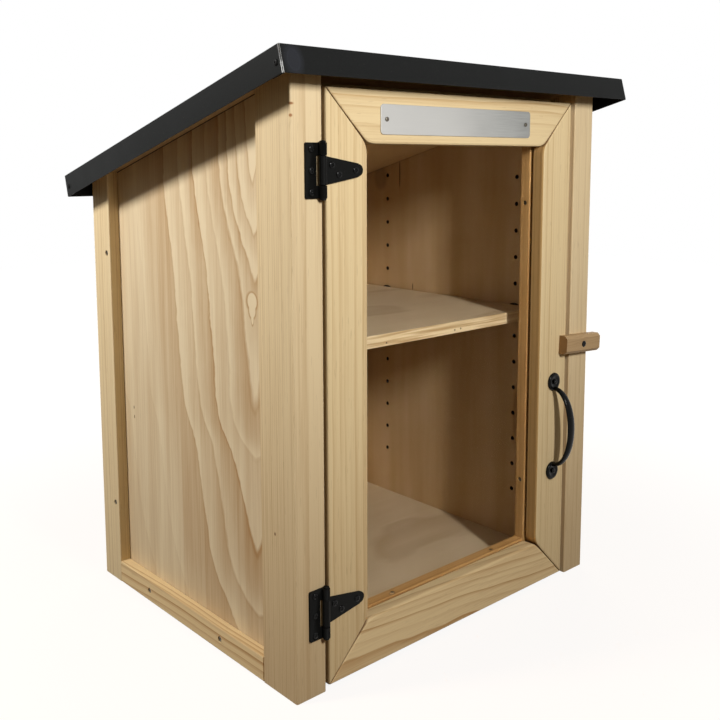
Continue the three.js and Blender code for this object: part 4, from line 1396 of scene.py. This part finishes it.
@dataclass
class Ironwork:
    """The materials of the metal and plastic pieces, each made once."""

    sheet: bpy.types.Material = field(init=False)
    iron: bpy.types.Material = field(init=False)
    screw: bpy.types.Material = field(init=False)
    cast: bpy.types.Material = field(init=False)
    steel: bpy.types.Material = field(init=False)
    plate: bpy.types.Material = field(init=False)
    plastic: bpy.types.Material = field(init=False)

    def __post_init__(self) -> None:
        """Makes the materials."""
        self.sheet = CapSheet("charcoal_sheet", (22, 23, 23), (29, 30, 30), 0.42, 0.05).build()
        self.iron = PaintedMetal("black_iron", (14, 14, 13), (20, 20, 19), 0.34, 0.06).build()
        self.screw = PaintedMetal("black_screw", (4, 4, 4), (8, 8, 7), 0.18, 0.14, 0.1).build()
        self.cast = PaintedMetal("black_cast_iron", (4, 4, 3), (7, 6, 5), 0.18, 0.1, 0.1).build()
        self.steel = BrushedMetal("screw_steel", (92, 86, 76), (128, 122, 112)).build()
        self.plate = BrushedMetal("brushed_aluminium", (142, 142, 138), (172, 172, 168), painted_sheen=0.8).build()
        self.plastic = DarkPlastic("dark_plastic", (38, 30, 26), (52, 42, 36)).build()


@dataclass
class Screws:
    """Every screw: those that replace CAD nodes, and the sunk ones that CAD only bores for.

    A sunk head's underside lies head_depth inside the body's side in a trim, and bead_y behind the
    body's front in a bead. Turns are in degrees.
    """

    frame: dict[str, Any]
    metals: Ironwork
    hinge: Head = Head(3.6, 1.3)
    handle: Head = Head(3.4, 1.3)
    plate: Head = Head(2.5, 1.1)
    button: Head = Head(4.2, 1.6)
    trim: Head = Head(3.4, 1.0)
    bead: Head = Head(2.9, 1.0)
    head_depth: float = 1.6
    bead_y: float = 29.45
    turn_step: float = 37.0
    turn_spread: float = 90.0

    def stand_in(self, node: str, head: Head, kind: str, material: bpy.types.Material) -> None:
        """Replaces a front-facing CAD screw with a detailed one.

        Args:
            node: The CAD screw.
            head: Its size.
            kind: The name of its shared mesh.
            material: Its finish.
        """
        low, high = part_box(node)
        spot = Vector(((low.x + high.x) / 2, low.y + head.rise * MM, (low.z + high.z) / 2))
        piece = Shop.shown(f"{node}_fine", head.mesh(kind), self.driven(node, spot, Facing.FRONT))
        settle(piece, self.frame["nodes"][node]["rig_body"], material, [node])

    def driven(self, name: str, spot: Vector, facing: Facing) -> Matrix:
        """Places a screw, its cross turned by a number made from its name, so that the crosses differ.

        Args:
            name: The screw's name.
            spot: Where its head's underside lies.
            facing: Where its head looks to.

        Returns:
            The screw's place.
        """
        turn = sum(map(ord, name)) * self.turn_step % self.turn_spread
        return Matrix.Translation(spot) @ facing.turn() @ Matrix.Rotation(math.radians(turn), 4, "Z")

    def sunk(self, name: str, head: Head, kind: str, spot: Vector, facing: Facing, body: str) -> None:
        """Adds one screw in a well that the CAD has already cut.

        Args:
            name: The screw's name.
            head: Its size.
            kind: The name of its shared mesh.
            spot: Where its head's underside lies.
            facing: Where its head looks to.
            body: The body that it rides on.
        """
        piece = Shop.shown(name, head.mesh(kind), self.driven(name, spot, facing))
        settle(piece, body, self.metals.steel)

    def trims(self) -> None:
        """Adds the screws of the bottom and rear trims on both sides."""
        places = {
            "bottom_trim_screw_front": (148.0, 14.25), "bottom_trim_screw_rear": (314.0, 14.25),
            "rear_trim_screw_lower": (401.0, 110.0), "rear_trim_screw_upper": (401.0, 451.96),
        }
        for name, (y, z) in places.items():
            right = Cabinet.width - self.head_depth
            for side, x, facing in (("left", self.head_depth, Facing.LEFT), ("right", right, Facing.RIGHT)):
                spot = Cabinet.place(x, y, z)
                self.sunk(f"{name}_{side}", self.trim, "trim_screw", spot, facing, "cabinet")

    def beads(self) -> None:
        """Adds the two screws of each glazing bead."""
        rows = [
            ("left", Facing.RIGHT, [(100.4, 143.0), (100.4, 517.0)]),
            ("right", Facing.LEFT, [(407.2, 143.0), (407.2, 517.0)]),
            ("bottom", Facing.UP, [(167.0, 59.9), (347.0, 59.9)]),
            ("top", Facing.DOWN, [(167.0, 591.0), (347.0, 591.0)]),
        ]
        for bead, facing, places in rows:
            for count, (x, z) in zip(("first", "second"), places):
                spot = Cabinet.place(x, self.bead_y, z)
                self.sunk(f"bead_screw_{bead}_{count}", self.bead, "bead_screw", spot, facing, "door")

    def build(self) -> None:
        """Makes every screw."""
        iron = self.metals.screw
        rows = {"leaf": ("top", "middle", "bottom"), "strap": ("root", "middle", "tip")}
        for level in ("upper", "lower"):
            for part, spots in rows.items():
                for spot in spots:
                    node = f"hinge_{part}_screw_{level}_{spot}"
                    self.stand_in(node, self.hinge, "hinge_screw", iron)
            self.stand_in(f"handle_screw_{level}", self.handle, "handle_screw", iron)
        for side in ("left", "right"):
            node = f"name_plate_screw_{side}"
            self.stand_in(node, self.plate, "plate_screw", self.metals.steel)
        self.stand_in("turn_button_screw", self.button, "button_screw", iron)
        self.trims()
        self.beads()


@dataclass
class Roof:
    """The folded sheet cap over the roof board, with its four corner rivets. Millimetres."""

    metals: Ironwork
    side_overhang: float = 31.5
    front_overhang: float = 27.1
    rear_overhang: float = 13.0
    top: float = 10.5
    flange: float = 28.7
    bend: float = 1.2
    sheet: float = 0.9
    tab: float = 18.0
    bend_steps: int = 5
    ease: float = 0.2
    rivet_rise: float = 1.2

    def frame(self) -> Matrix:
        """Returns the roof's own frame: X across, Y down the slope, Z square to it."""
        corner = Matrix.Translation(Cabinet.place(0.0, 0.0, Cabinet.head_height))
        return corner @ Matrix.Rotation(-Cabinet.slope, 4, "X") @ Matrix.Scale(MM, 4)

    def edges(self) -> tuple[float, float, float, float]:
        """Returns the cap's outer left, right, front and rear edges."""
        length = Cabinet.depth / math.cos(Cabinet.slope)
        right = Cabinet.width + self.side_overhang
        return -self.side_overhang, right, -self.front_overhang, length + self.rear_overhang

    def fall(self, out: float) -> list[Point]:
        """Works out how a flange leaves the top.

        Args:
            out: The sign of the way that the flange lies.

        Returns:
            Steps outward with their heights, from the bend to the lower edge.
        """
        steps = [math.pi / 2 * step / self.bend_steps for step in range(1, self.bend_steps + 1)]
        curve = [(out * self.bend * math.sin(t), self.top - self.bend * (1 - math.cos(t))) for t in steps]
        return [*curve, (out * self.bend, self.top - self.flange)]

    def cap(self) -> bpy.types.Object:
        """Returns the cap: a top, four folded flanges, and tabs tucked behind the side flanges."""
        left, right, front, rear = self.edges()
        xs, ys = (left + self.bend, right - self.bend), (front + self.bend, rear - self.bend)
        made = bmesh.new()
        corners = {(i, j): made.verts.new((xs[i], ys[j], self.top)) for i in (0, 1) for j in (0, 1)}
        made.faces.new([corners[0, 0], corners[1, 0], corners[1, 1], corners[0, 1]])
        for side, out in ((0, -1.0), (1, 1.0)):
            self.strip(made, [corners[side, 0], corners[side, 1]], Vector((1, 0, 0)), out)
            self.strip(made, [corners[0, side], corners[1, side]], Vector((0, 1, 0)), out)
            for hand, x in ((1.0, left), (-1.0, right)):
                self.tuck(made, x + hand * 2 * self.sheet, (front, rear)[side] - out * self.sheet, -out)
        for vert in made.verts:
            vert.co = self.frame() @ vert.co
        piece = Shop.shown("roof_cap_sheet", Shop.mesh_from("roof_cap_sheet", made))
        skin = piece.modifiers.new("thickness", "SOLIDIFY")
        skin.thickness = self.sheet * MM
        skin.offset = -1.0
        skin.use_even_offset = True
        Shop.applied(piece)
        Shop.eased(piece, self.ease)
        return piece

    def strip(
        self, made: bmesh.types.BMesh, start: list[bmesh.types.BMVert], outward: Vector, out: float
    ) -> None:
        """Folds one flange down from an edge of the top.

        Args:
            made: The mesh that grows.
            start: The two vertices of the top's edge.
            outward: The direction across that edge.
            out: Which way along that direction the flange lies.
        """
        above = start
        for reach, height in self.fall(out):
            below = []
            for vert in start:
                point = vert.co + outward * reach
                below.append(made.verts.new((point.x, point.y, height)))
            made.faces.new((above[0], above[1], below[1], below[0]))
            above = below

    def tuck(self, made: bmesh.types.BMesh, x: float, start: float, inward: float) -> None:
        """Lays a tab behind the end of a side flange, from the front or rear flange inward.

        Args:
            made: The mesh that grows.
            x: Where the tab stands.
            start: Where it meets the front or rear flange.
            inward: The sign of the way that it runs along the slope.
        """
        ends, heights = (start, start + inward * self.tab), (self.top - self.sheet, self.top - self.flange)
        corners = [(x, y, z) for z, row in zip(heights, (ends, ends[::-1])) for y in row]
        made.faces.new([made.verts.new(corner) for corner in corners])

    def rivet(self) -> bpy.types.Mesh:
        """Returns the mesh of a domed blind rivet with the dimple of its drawn pin."""
        return Shop.lathed("roof_rivet", (
            (0.0, -3.6), (1.7, -3.6), (1.7, 0.0), (3.2, 0.0), (3.2, 0.3), (2.9, 0.7), (2.2, 1.05),
            (1.4, self.rivet_rise), (1.0, 1.15), (0.85, 0.5), (0.0, 0.45),
        ))

    def build(self) -> None:
        """Makes the cap and its rivets."""
        settle(self.cap(), "cabinet", self.metals.sheet, ["roof_cap"])
        mesh = self.rivet()
        for end in ("front", "rear"):
            for side, facing in (("left", Facing.LEFT), ("right", Facing.RIGHT)):
                node = f"roof_cap_rivet_{end}_{side}"
                low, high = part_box(node)
                spot = (low + high) / 2
                rise = self.rivet_rise * MM
                spot.x = low.x + rise if side == "left" else high.x - rise
                piece = Shop.shown(f"{node}_fine", mesh, Matrix.Translation(spot) @ facing.turn())
                settle(piece, "cabinet", self.metals.iron, [node])


@dataclass
class TeeHinges:
    """Two tee hinges: a leaf on the post, a strap on the door and a headed pin. Millimetres."""

    metals: Ironwork
    knuckle: float = 4.2
    pin: float = 2.4
    pin_head: float = 3.4
    sheet: float = 2.0
    back: float = 4.4
    leaf_half: float = 28.0
    leaf_reach: float = 20.5
    notch_reach: float = 6.2
    barrel_half: float = 28.2
    middle_half: float = 14.8
    gap: float = 0.4
    leaf_corner: float = 1.2
    knuckle_ease: float = 0.5
    pin_gap: float = 0.2
    ease: float = 0.35
    shoulder_reach: float = 50.5
    shoulder_half: float = 7.0
    tip_radius: float = 6.4
    tip_reach: float = 56.4
    arc_steps: int = 14

    def axis_of(self, level: str) -> Vector:
        """Returns the middle of a hinge's pin in the row frame."""
        low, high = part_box(f"hinge_pin_{level}")
        return (low + high) / 2

    def slab(self, name: str, outline: Sequence[Point]) -> bpy.types.Object:
        """Cuts a blank from the hinge's sheet.

        Args:
            name: The blank's name.
            outline: Its outline in X and Z.

        Returns:
            The blank.
        """
        mesh = Shop.extruded(name, outline, -self.back, self.sheet - self.back)
        mesh.transform(Matrix.Rotation(math.radians(90), 4, "X"))
        return Shop.shown(name, mesh)

    def barrel(self, name: str, low: float, high: float) -> bpy.types.Object:
        """Makes one knuckle with eased ends.

        Args:
            name: Its name.
            low: Where it starts along the pin.
            high: Where it ends.

        Returns:
            The knuckle.
        """
        outer, inner, ease = self.knuckle, self.knuckle - self.knuckle_ease, self.knuckle_ease
        profile = (
            (0.0, low), (inner, low), (outer, low + ease), (outer, high - ease), (inner, high), (0.0, high),
        )
        return Shop.shown(name, Shop.lathed(name, profile, 32))

    def leaf(self) -> bpy.types.Mesh:
        """Returns the mesh of the leaf, notched where the strap's knuckle turns."""
        notch, corner = self.middle_half + self.gap, self.leaf_corner
        reach, half = self.leaf_reach, self.leaf_half
        piece = self.slab("leaf_blank", [
            (-reach, -half + corner), (-reach + corner, -half), (0.0, -half), (0.0, -notch),
            (-self.notch_reach, -notch), (-self.notch_reach, notch), (0.0, notch), (0.0, half),
            (-reach + corner, half), (-reach, half - corner),
        ])
        ends = [
            self.barrel("knuckle_low", -self.barrel_half, -notch),
            self.barrel("knuckle_high", notch, self.barrel_half),
        ]
        return Shop.finished(Shop.combined(piece, ends), self.ease, 2)

    def strap(self) -> bpy.types.Mesh:
        """Returns the mesh of the strap, tapering from the middle knuckle to a round tip."""
        centre = self.tip_reach - self.tip_radius
        turns = [math.pi * (step / self.arc_steps - 0.5) for step in range(self.arc_steps + 1)]
        radius = self.tip_radius
        tip = [(centre + radius * math.cos(turn), radius * math.sin(turn)) for turn in turns]
        half, shoulder = self.middle_half, self.shoulder_half
        piece = self.slab("strap_blank", [
            (0.0, -half), (self.knuckle, -half), (self.shoulder_reach, -shoulder), *tip,
            (self.shoulder_reach, shoulder), (self.knuckle, half), (0.0, half),
        ])
        return Shop.finished(Shop.combined(piece, [self.barrel("knuckle", -half, half)]), self.ease, 2)

    def pin_mesh(self) -> bpy.types.Mesh:
        """Returns the mesh of the pin with a rounded head at each end."""
        end, head = self.barrel_half + self.pin_gap, self.pin_head
        half = [
            (self.pin, end), (head, end), (head, end + 0.7),
            (head * 0.8, end + 1.5), (head * 0.45, end + 1.9), (0.0, end + 2.0),
        ]
        return Shop.lathed("hinge_pin", [(r, -z) for r, z in reversed(half)] + half)

    def build(self) -> None:
        """Makes both hinges."""
        parts = {"leaf": (self.leaf(), "cabinet"), "strap": (self.strap(), "door")}
        parts["pin"] = (self.pin_mesh(), "cabinet")
        for level in ("upper", "lower"):
            for part, (mesh, body) in parts.items():
                node = f"hinge_{part}_{level}"
                piece = Shop.shown(f"{node}_fine", mesh, Matrix.Translation(self.axis_of(level)))
                settle(piece, body, self.metals.iron, [node])


@dataclass
class PullHandle:
    """The cast pull: two domed pads and a bow that narrows into them. Millimetres."""

    metals: Ironwork
    pad_half: float = 61.2
    pad_radius: float = 12.0
    pad_thickness: float = 3.6
    standoff: float = 33.4
    bow_half_width: float = 6.6
    bow_half_thickness: float = 2.9
    root_inset: float = 9.0
    root_share: float = 0.5
    bow_steps: int = 64
    ring_points: int = 28
    end_weight: float = 1 / 4
    swell_power: float = 1.6
    root_thickness_share: float = 0.92

    def pad(self, name: str, offset: float) -> bpy.types.Object:
        """Makes one pad: a thick domed disc with a dished middle for its screw.

        Args:
            name: The pad's name.
            offset: Its place above the handle's middle.

        Returns:
            The pad.
        """
        r, t = self.pad_radius, self.pad_thickness
        mesh = Shop.lathed(name, (
            (0.0, 0.0), (r - 0.4, 0.0), (r, 0.5), (r, t * 0.45), (r - 0.5, t * 0.72), (r - 1.6, t * 0.93),
            (r - 2.9, t), (r - 4.3, t * 0.95), (r - 5.4, t * 0.84), (r - 6.3, t * 0.74), (0.0, t * 0.7),
        ), 48)
        mesh.transform(Matrix.Translation((0, 0, offset * MM)) @ Facing.FRONT.turn())
        return Shop.shown(name, mesh)

    def bow(self) -> bpy.types.Object:
        """Returns the bow, an oval bar along one cubic curve, swelling to its middle."""
        root, root_y = self.pad_half - self.root_inset, -self.pad_thickness / 2
        crest = self.bow_half_thickness - self.standoff
        reach = (crest - root_y * self.end_weight) / (1 - self.end_weight)
        a, b, c, d = (
            Vector((0, y, z)) for y, z in ((root_y, root), (reach, root), (reach, -root), (root_y, -root)))
        side, thin = Vector((1, 0, 0)), self.root_thickness_share
        turns = [math.tau * step / self.ring_points for step in range(self.ring_points)]
        rings = []
        for step in range(self.bow_steps + 1):
            t = step / self.bow_steps
            s = 1 - t
            middle = a * s**3 + b * 3 * s * s * t + c * 3 * s * t * t + d * t**3
            ahead = ((b - a) * s * s + (c - b) * 2 * s * t + (d - c) * t * t).normalized()
            out = ahead.cross(side).normalized()
            swell = min(1.0, middle.y / crest)
            growth = (1 - self.root_share) * swell**self.swell_power
            width = self.bow_half_width * (self.root_share + growth)
            thick = self.bow_half_thickness * (thin + (1 - thin) * swell)
            rings.append([
                (middle + side * width * math.cos(turn) + out * thick * math.sin(turn)) * MM for turn in turns
            ])
        return Shop.shown("bow", Shop.swept("bow", rings))

    def build(self) -> None:
        """Makes the handle in one piece."""
        low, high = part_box("door_handle")
        piece = Shop.combined(
            self.pad("door_handle_fine", self.pad_half), [self.pad("pad_low", -self.pad_half), self.bow()])
        spot = Vector(((low.x + high.x) / 2, high.y, (low.z + high.z) / 2))
        piece.data.transform(Matrix.Translation(spot))
        settle(piece, "door", self.metals.cast, ["door_handle"])


@dataclass
class ShelfSupports:
    """Four push-in supports: a pin, a round-topped plate and a ledge under the shelf. Millimetres."""

    metals: Ironwork
    shelf: float = 15.0
    pin_drop: float = 7.6
    ledge: float = 3.0
    rise: float = 2.6
    plate: float = 2.5
    width: float = 20.0
    ledge_width: float = 16.0
    ledge_reach: float = 12.0
    pin: float = 2.9
    pin_reach: float = 9.0
    pin_ease: float = 0.6
    play: float = 0.3
    arch: float = 7.0
    arch_steps: int = 10
    ease: float = 0.5

    def outline(self) -> list[Point]:
        """Returns the plate's outline, square at its foot and round at its head."""
        foot, head = -self.pin_drop - self.ledge, self.shelf - self.pin_drop + self.play + self.rise
        half = self.width / 2
        turns = [math.pi * step / self.arch_steps for step in range(self.arch_steps + 1)]
        arch = [(half * math.cos(turn), head - self.arch * (1 - math.sin(turn))) for turn in turns]
        return [(-half, foot), (half, foot), *arch]

    def mesh(self) -> bpy.types.Mesh:
        """Returns the mesh of one support on a left wall, with the wall's face at X zero."""
        foot, half, face = -self.pin_drop - self.ledge, self.ledge_width / 2, self.play + self.plate
        floor = [(-half, foot), (half, foot), (half, foot + self.ledge), (-half, foot + self.ledge)]
        plate = Shop.extruded("support_plate", self.outline(), self.play, face)
        ledge = Shop.extruded("support_ledge", floor, self.play, face + self.ledge_reach)
        blunt, inside = self.pin - self.pin_ease, self.play + self.plate / 2
        pin = Shop.lathed("support_pin", (
            (0, -self.pin_reach), (blunt, -self.pin_reach), (self.pin, -self.pin_reach + self.pin_ease),
            (self.pin, inside), (0, inside),
        ), 24)
        for mesh in (plate, ledge):
            mesh.transform(Matrix(((0, 0, 1, 0), (1, 0, 0, 0), (0, 1, 0, 0), (0, 0, 0, 1))))
        pin.transform(Facing.RIGHT.turn())
        others = [Shop.shown("support_ledge", ledge), Shop.shown("support_pin", pin)]
        return Shop.finished(Shop.combined(Shop.shown("support_blank", plate), others), self.ease, 3)

    def build(self) -> None:
        """Makes the four supports."""
        left_mesh = self.mesh()
        right_mesh = left_mesh.copy()
        right_mesh.transform(Matrix.Scale(-1, 4, Vector((1, 0, 0))))
        right_mesh.flip_normals()
        for row in ("front", "rear"):
            for side, mesh in (("left", left_mesh), ("right", right_mesh)):
                node = f"shelf_support_{row}_{side}"
                low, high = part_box(node)
                wall = low.x + self.pin_reach * MM if side == "left" else high.x - self.pin_reach * MM
                foot = self.pin_drop + self.ledge
                spot = Vector((wall, (low.y + high.y) / 2, low.z + foot * MM))
                piece = Shop.shown(f"{node}_fine", mesh, Matrix.Translation(spot))
                settle(piece, "cabinet", self.metals.plastic, [node])


@dataclass
class NamePlate:
    """The bare plate on the door's top rail, with rounded corners. Millimetres."""

    metals: Ironwork
    corner: float = 4.5
    corner_steps: int = 8
    ease: float = 0.25

    def build(self) -> None:
        """Makes the plate."""
        low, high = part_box("name_plate")
        middle, half = (low + high) / 2, (high - low) / 2 / MM
        outline = []
        for quarter, (sx, sz) in enumerate(((1, 1), (-1, 1), (-1, -1), (1, -1))):
            for step in range(self.corner_steps + 1):
                turn = math.pi / 2 * (quarter + step / self.corner_steps)
                x = sx * (half.x - self.corner) + self.corner * math.cos(turn)
                z = sz * (half.z - self.corner) + self.corner * math.sin(turn)
                outline.append((x, z))
        mesh = Shop.extruded("name_plate_fine", outline, -half.y, half.y)
        mesh.transform(Matrix.Translation(middle) @ Matrix.Rotation(math.radians(90), 4, "X"))
        piece = Shop.shown("name_plate_fine", mesh)
        Shop.eased(piece, self.ease, 2)
        settle(piece, "door", self.metals.plate, ["name_plate"])


@dataclass(frozen=True)
class Lamp:
    """A rectangular area lamp: where it hangs, what it looks at, its width, height and power."""

    name: str
    place: Triple
    target: Triple
    width: float
    height: float
    power: float
    colour: Triple

    def build(self) -> None:
        """Hangs the lamp."""
        data = bpy.data.lights.new(self.name, "AREA")
        data.shape = "RECTANGLE"
        data.size = self.width
        data.size_y = self.height
        data.energy = self.power
        data.color = self.colour
        lamp = bpy.data.objects.new(self.name, data)
        lamp.location = self.place
        away = Vector(self.place) - Vector(self.target)
        lamp.rotation_mode = "QUATERNION"
        lamp.rotation_quaternion = away.to_track_quat("Z", "Y")
        lamp.visible_transmission = False
        bpy.context.scene.collection.objects.link(lamp)


@dataclass
class Studio:
    """The pale floor, the white surround, the lamps and the camera.

    Places and sizes are in metres and angles in degrees. Lens and sensor are in millimetres.
    """

    lens: float = 45.774
    sensor: float = 36.0
    shift: tuple[float, float] = (-0.004707, -0.119296)
    eye: Triple = (-0.8084, -0.9390, 0.56997)
    heading: float = 41.964
    downward: float = 6.951
    roll: float = -0.137
    floor_half: float = 4.0
    floor_drop: float = 0.0004
    glow: float = 0.9
    glow_span: Point = (0.35, 1.1)
    pallor: Linear = (0.14, 0.1, 0.06, 1.0)
    fill: Linear = (0.112, 0.088, 0.052, 1.0)
    lamps: tuple[Lamp, ...] = (
        Lamp("front_lamp", (-0.2305, -1.218, 0.945), (0.0, -0.2, 0.8), 0.07, 0.26, 11.4, (1.0, 0.985, 0.965)),
        Lamp("left_lamp", (-1.0555, 0.232, 1.04), (-0.25, 0.0, 0.5), 0.2, 0.2, 10.9, (1.0, 0.975, 0.935)),
        Lamp("back_lamp", (1.6, 1.6, 1.5), (0.1, 0.1, 0.3), 1.6, 1.6, 22.0, (1.0, 0.99, 0.97)),
    )

    @staticmethod
    def seen(graph: Graph) -> Socket:
        """Tells the rays that see a surface from those that only light one.

        Args:
            graph: The graph to draw in.

        Returns:
            One where a ray comes from the camera, a reflection or the pane before any matte bounce.
        """
        path = graph.add("ShaderNodeLightPath").outputs
        either = graph.math("MAXIMUM", path["Is Camera Ray"], path["Is Glossy Ray"])
        either = graph.math("MAXIMUM", either, path["Is Transmission Ray"])
        return graph.math("MULTIPLY", either, graph.math("LESS_THAN", path["Diffuse Depth"], 0.5))

    def surround(self) -> None:
        """Makes the world: white where it is seen, a soft warm fill where it lights."""
        world = bpy.data.worlds.new("surround")
        world.use_nodes = True
        world.node_tree.nodes.clear()
        graph = Graph(world.node_tree)
        colour = graph.mix(self.seen(graph), self.fill, WHITE)
        back = graph.add("ShaderNodeBackground", {"Color": colour, "Strength": 1.0})
        graph.add("ShaderNodeOutputWorld", {"Surface": back.outputs[0]})
        bpy.context.scene.world = world

    def floor(self) -> None:
        """Lays a pale floor that fades into the white surround and keeps the object's shadow."""
        material = bpy.data.materials.new("pale_floor")
        material.use_nodes = True
        material.node_tree.nodes.clear()
        graph = Graph(material.node_tree)
        distance = graph.vector("LENGTH", graph.place()).outputs["Value"]
        glow = graph.span(distance, *self.glow_span, self.glow, 1.0)
        strength = graph.math("MULTIPLY", glow, self.seen(graph))
        shine = graph.add("ShaderNodeEmission", {"Color": WHITE, "Strength": strength})
        matte = graph.add("ShaderNodeBsdfDiffuse", {"Color": self.pallor})
        both = graph.add("ShaderNodeAddShader", {0: shine.outputs[0], 1: matte.outputs[0]})
        graph.add("ShaderNodeOutputMaterial", {"Surface": both.outputs[0]})
        made = bmesh.new()
        bmesh.ops.create_grid(made, x_segments=1, y_segments=1, size=self.floor_half)
        mesh = Shop.mesh_from("floor", made)
        mesh.materials.append(material)
        piece = Shop.shown("floor", mesh, Matrix.Translation((0.0, 0.0, -self.floor_drop)))

    def camera(self) -> None:
        """Sets the camera where the photograph was taken from."""
        turn, dip, roll = (math.radians(a) for a in (self.heading, self.downward, self.roll))
        ahead = Vector((math.sin(turn) * math.cos(dip), math.cos(turn) * math.cos(dip), -math.sin(dip)))
        level = Vector((math.cos(turn), -math.sin(turn), 0.0))
        upright = level.cross(ahead)
        right = level * math.cos(roll) + upright * math.sin(roll)
        up = upright * math.cos(roll) - level * math.sin(roll)
        data = bpy.data.cameras.new("photo_camera")
        data.lens = self.lens
        data.sensor_width = self.sensor
        data.shift_x, data.shift_y = self.shift
        camera = bpy.data.objects.new("photo_camera", data)
        pose = Matrix((right, up, -ahead)).transposed().to_4x4()
        camera.matrix_world = Matrix.Translation(self.eye) @ pose
        bpy.context.scene.collection.objects.link(camera)
        bpy.context.scene.camera = camera

    def build(self) -> None:
        """Sets up the whole studio."""
        bpy.context.scene.view_settings.view_transform = "Standard"
        self.camera()
        self.surround()
        self.floor()
        for lamp in self.lamps:
            lamp.build()
            LOG.info("lamp %s", lamp.name)


def main() -> None:
    """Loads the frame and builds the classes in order."""
    logging.basicConfig(level=logging.INFO, format="%(message)s")
    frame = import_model()
    Studio().build()
    Timber(frame).build()
    metals = Ironwork()
    paint(frame, "window_pane", ClearPane("clear_pane").build())
    Roof(metals).build()
    TeeHinges(metals).build()
    PullHandle(metals).build()
    ShelfSupports(metals).build()
    NamePlate(metals).build()
    Screws(frame, metals).build()


if __name__ == "__main__":
    main()
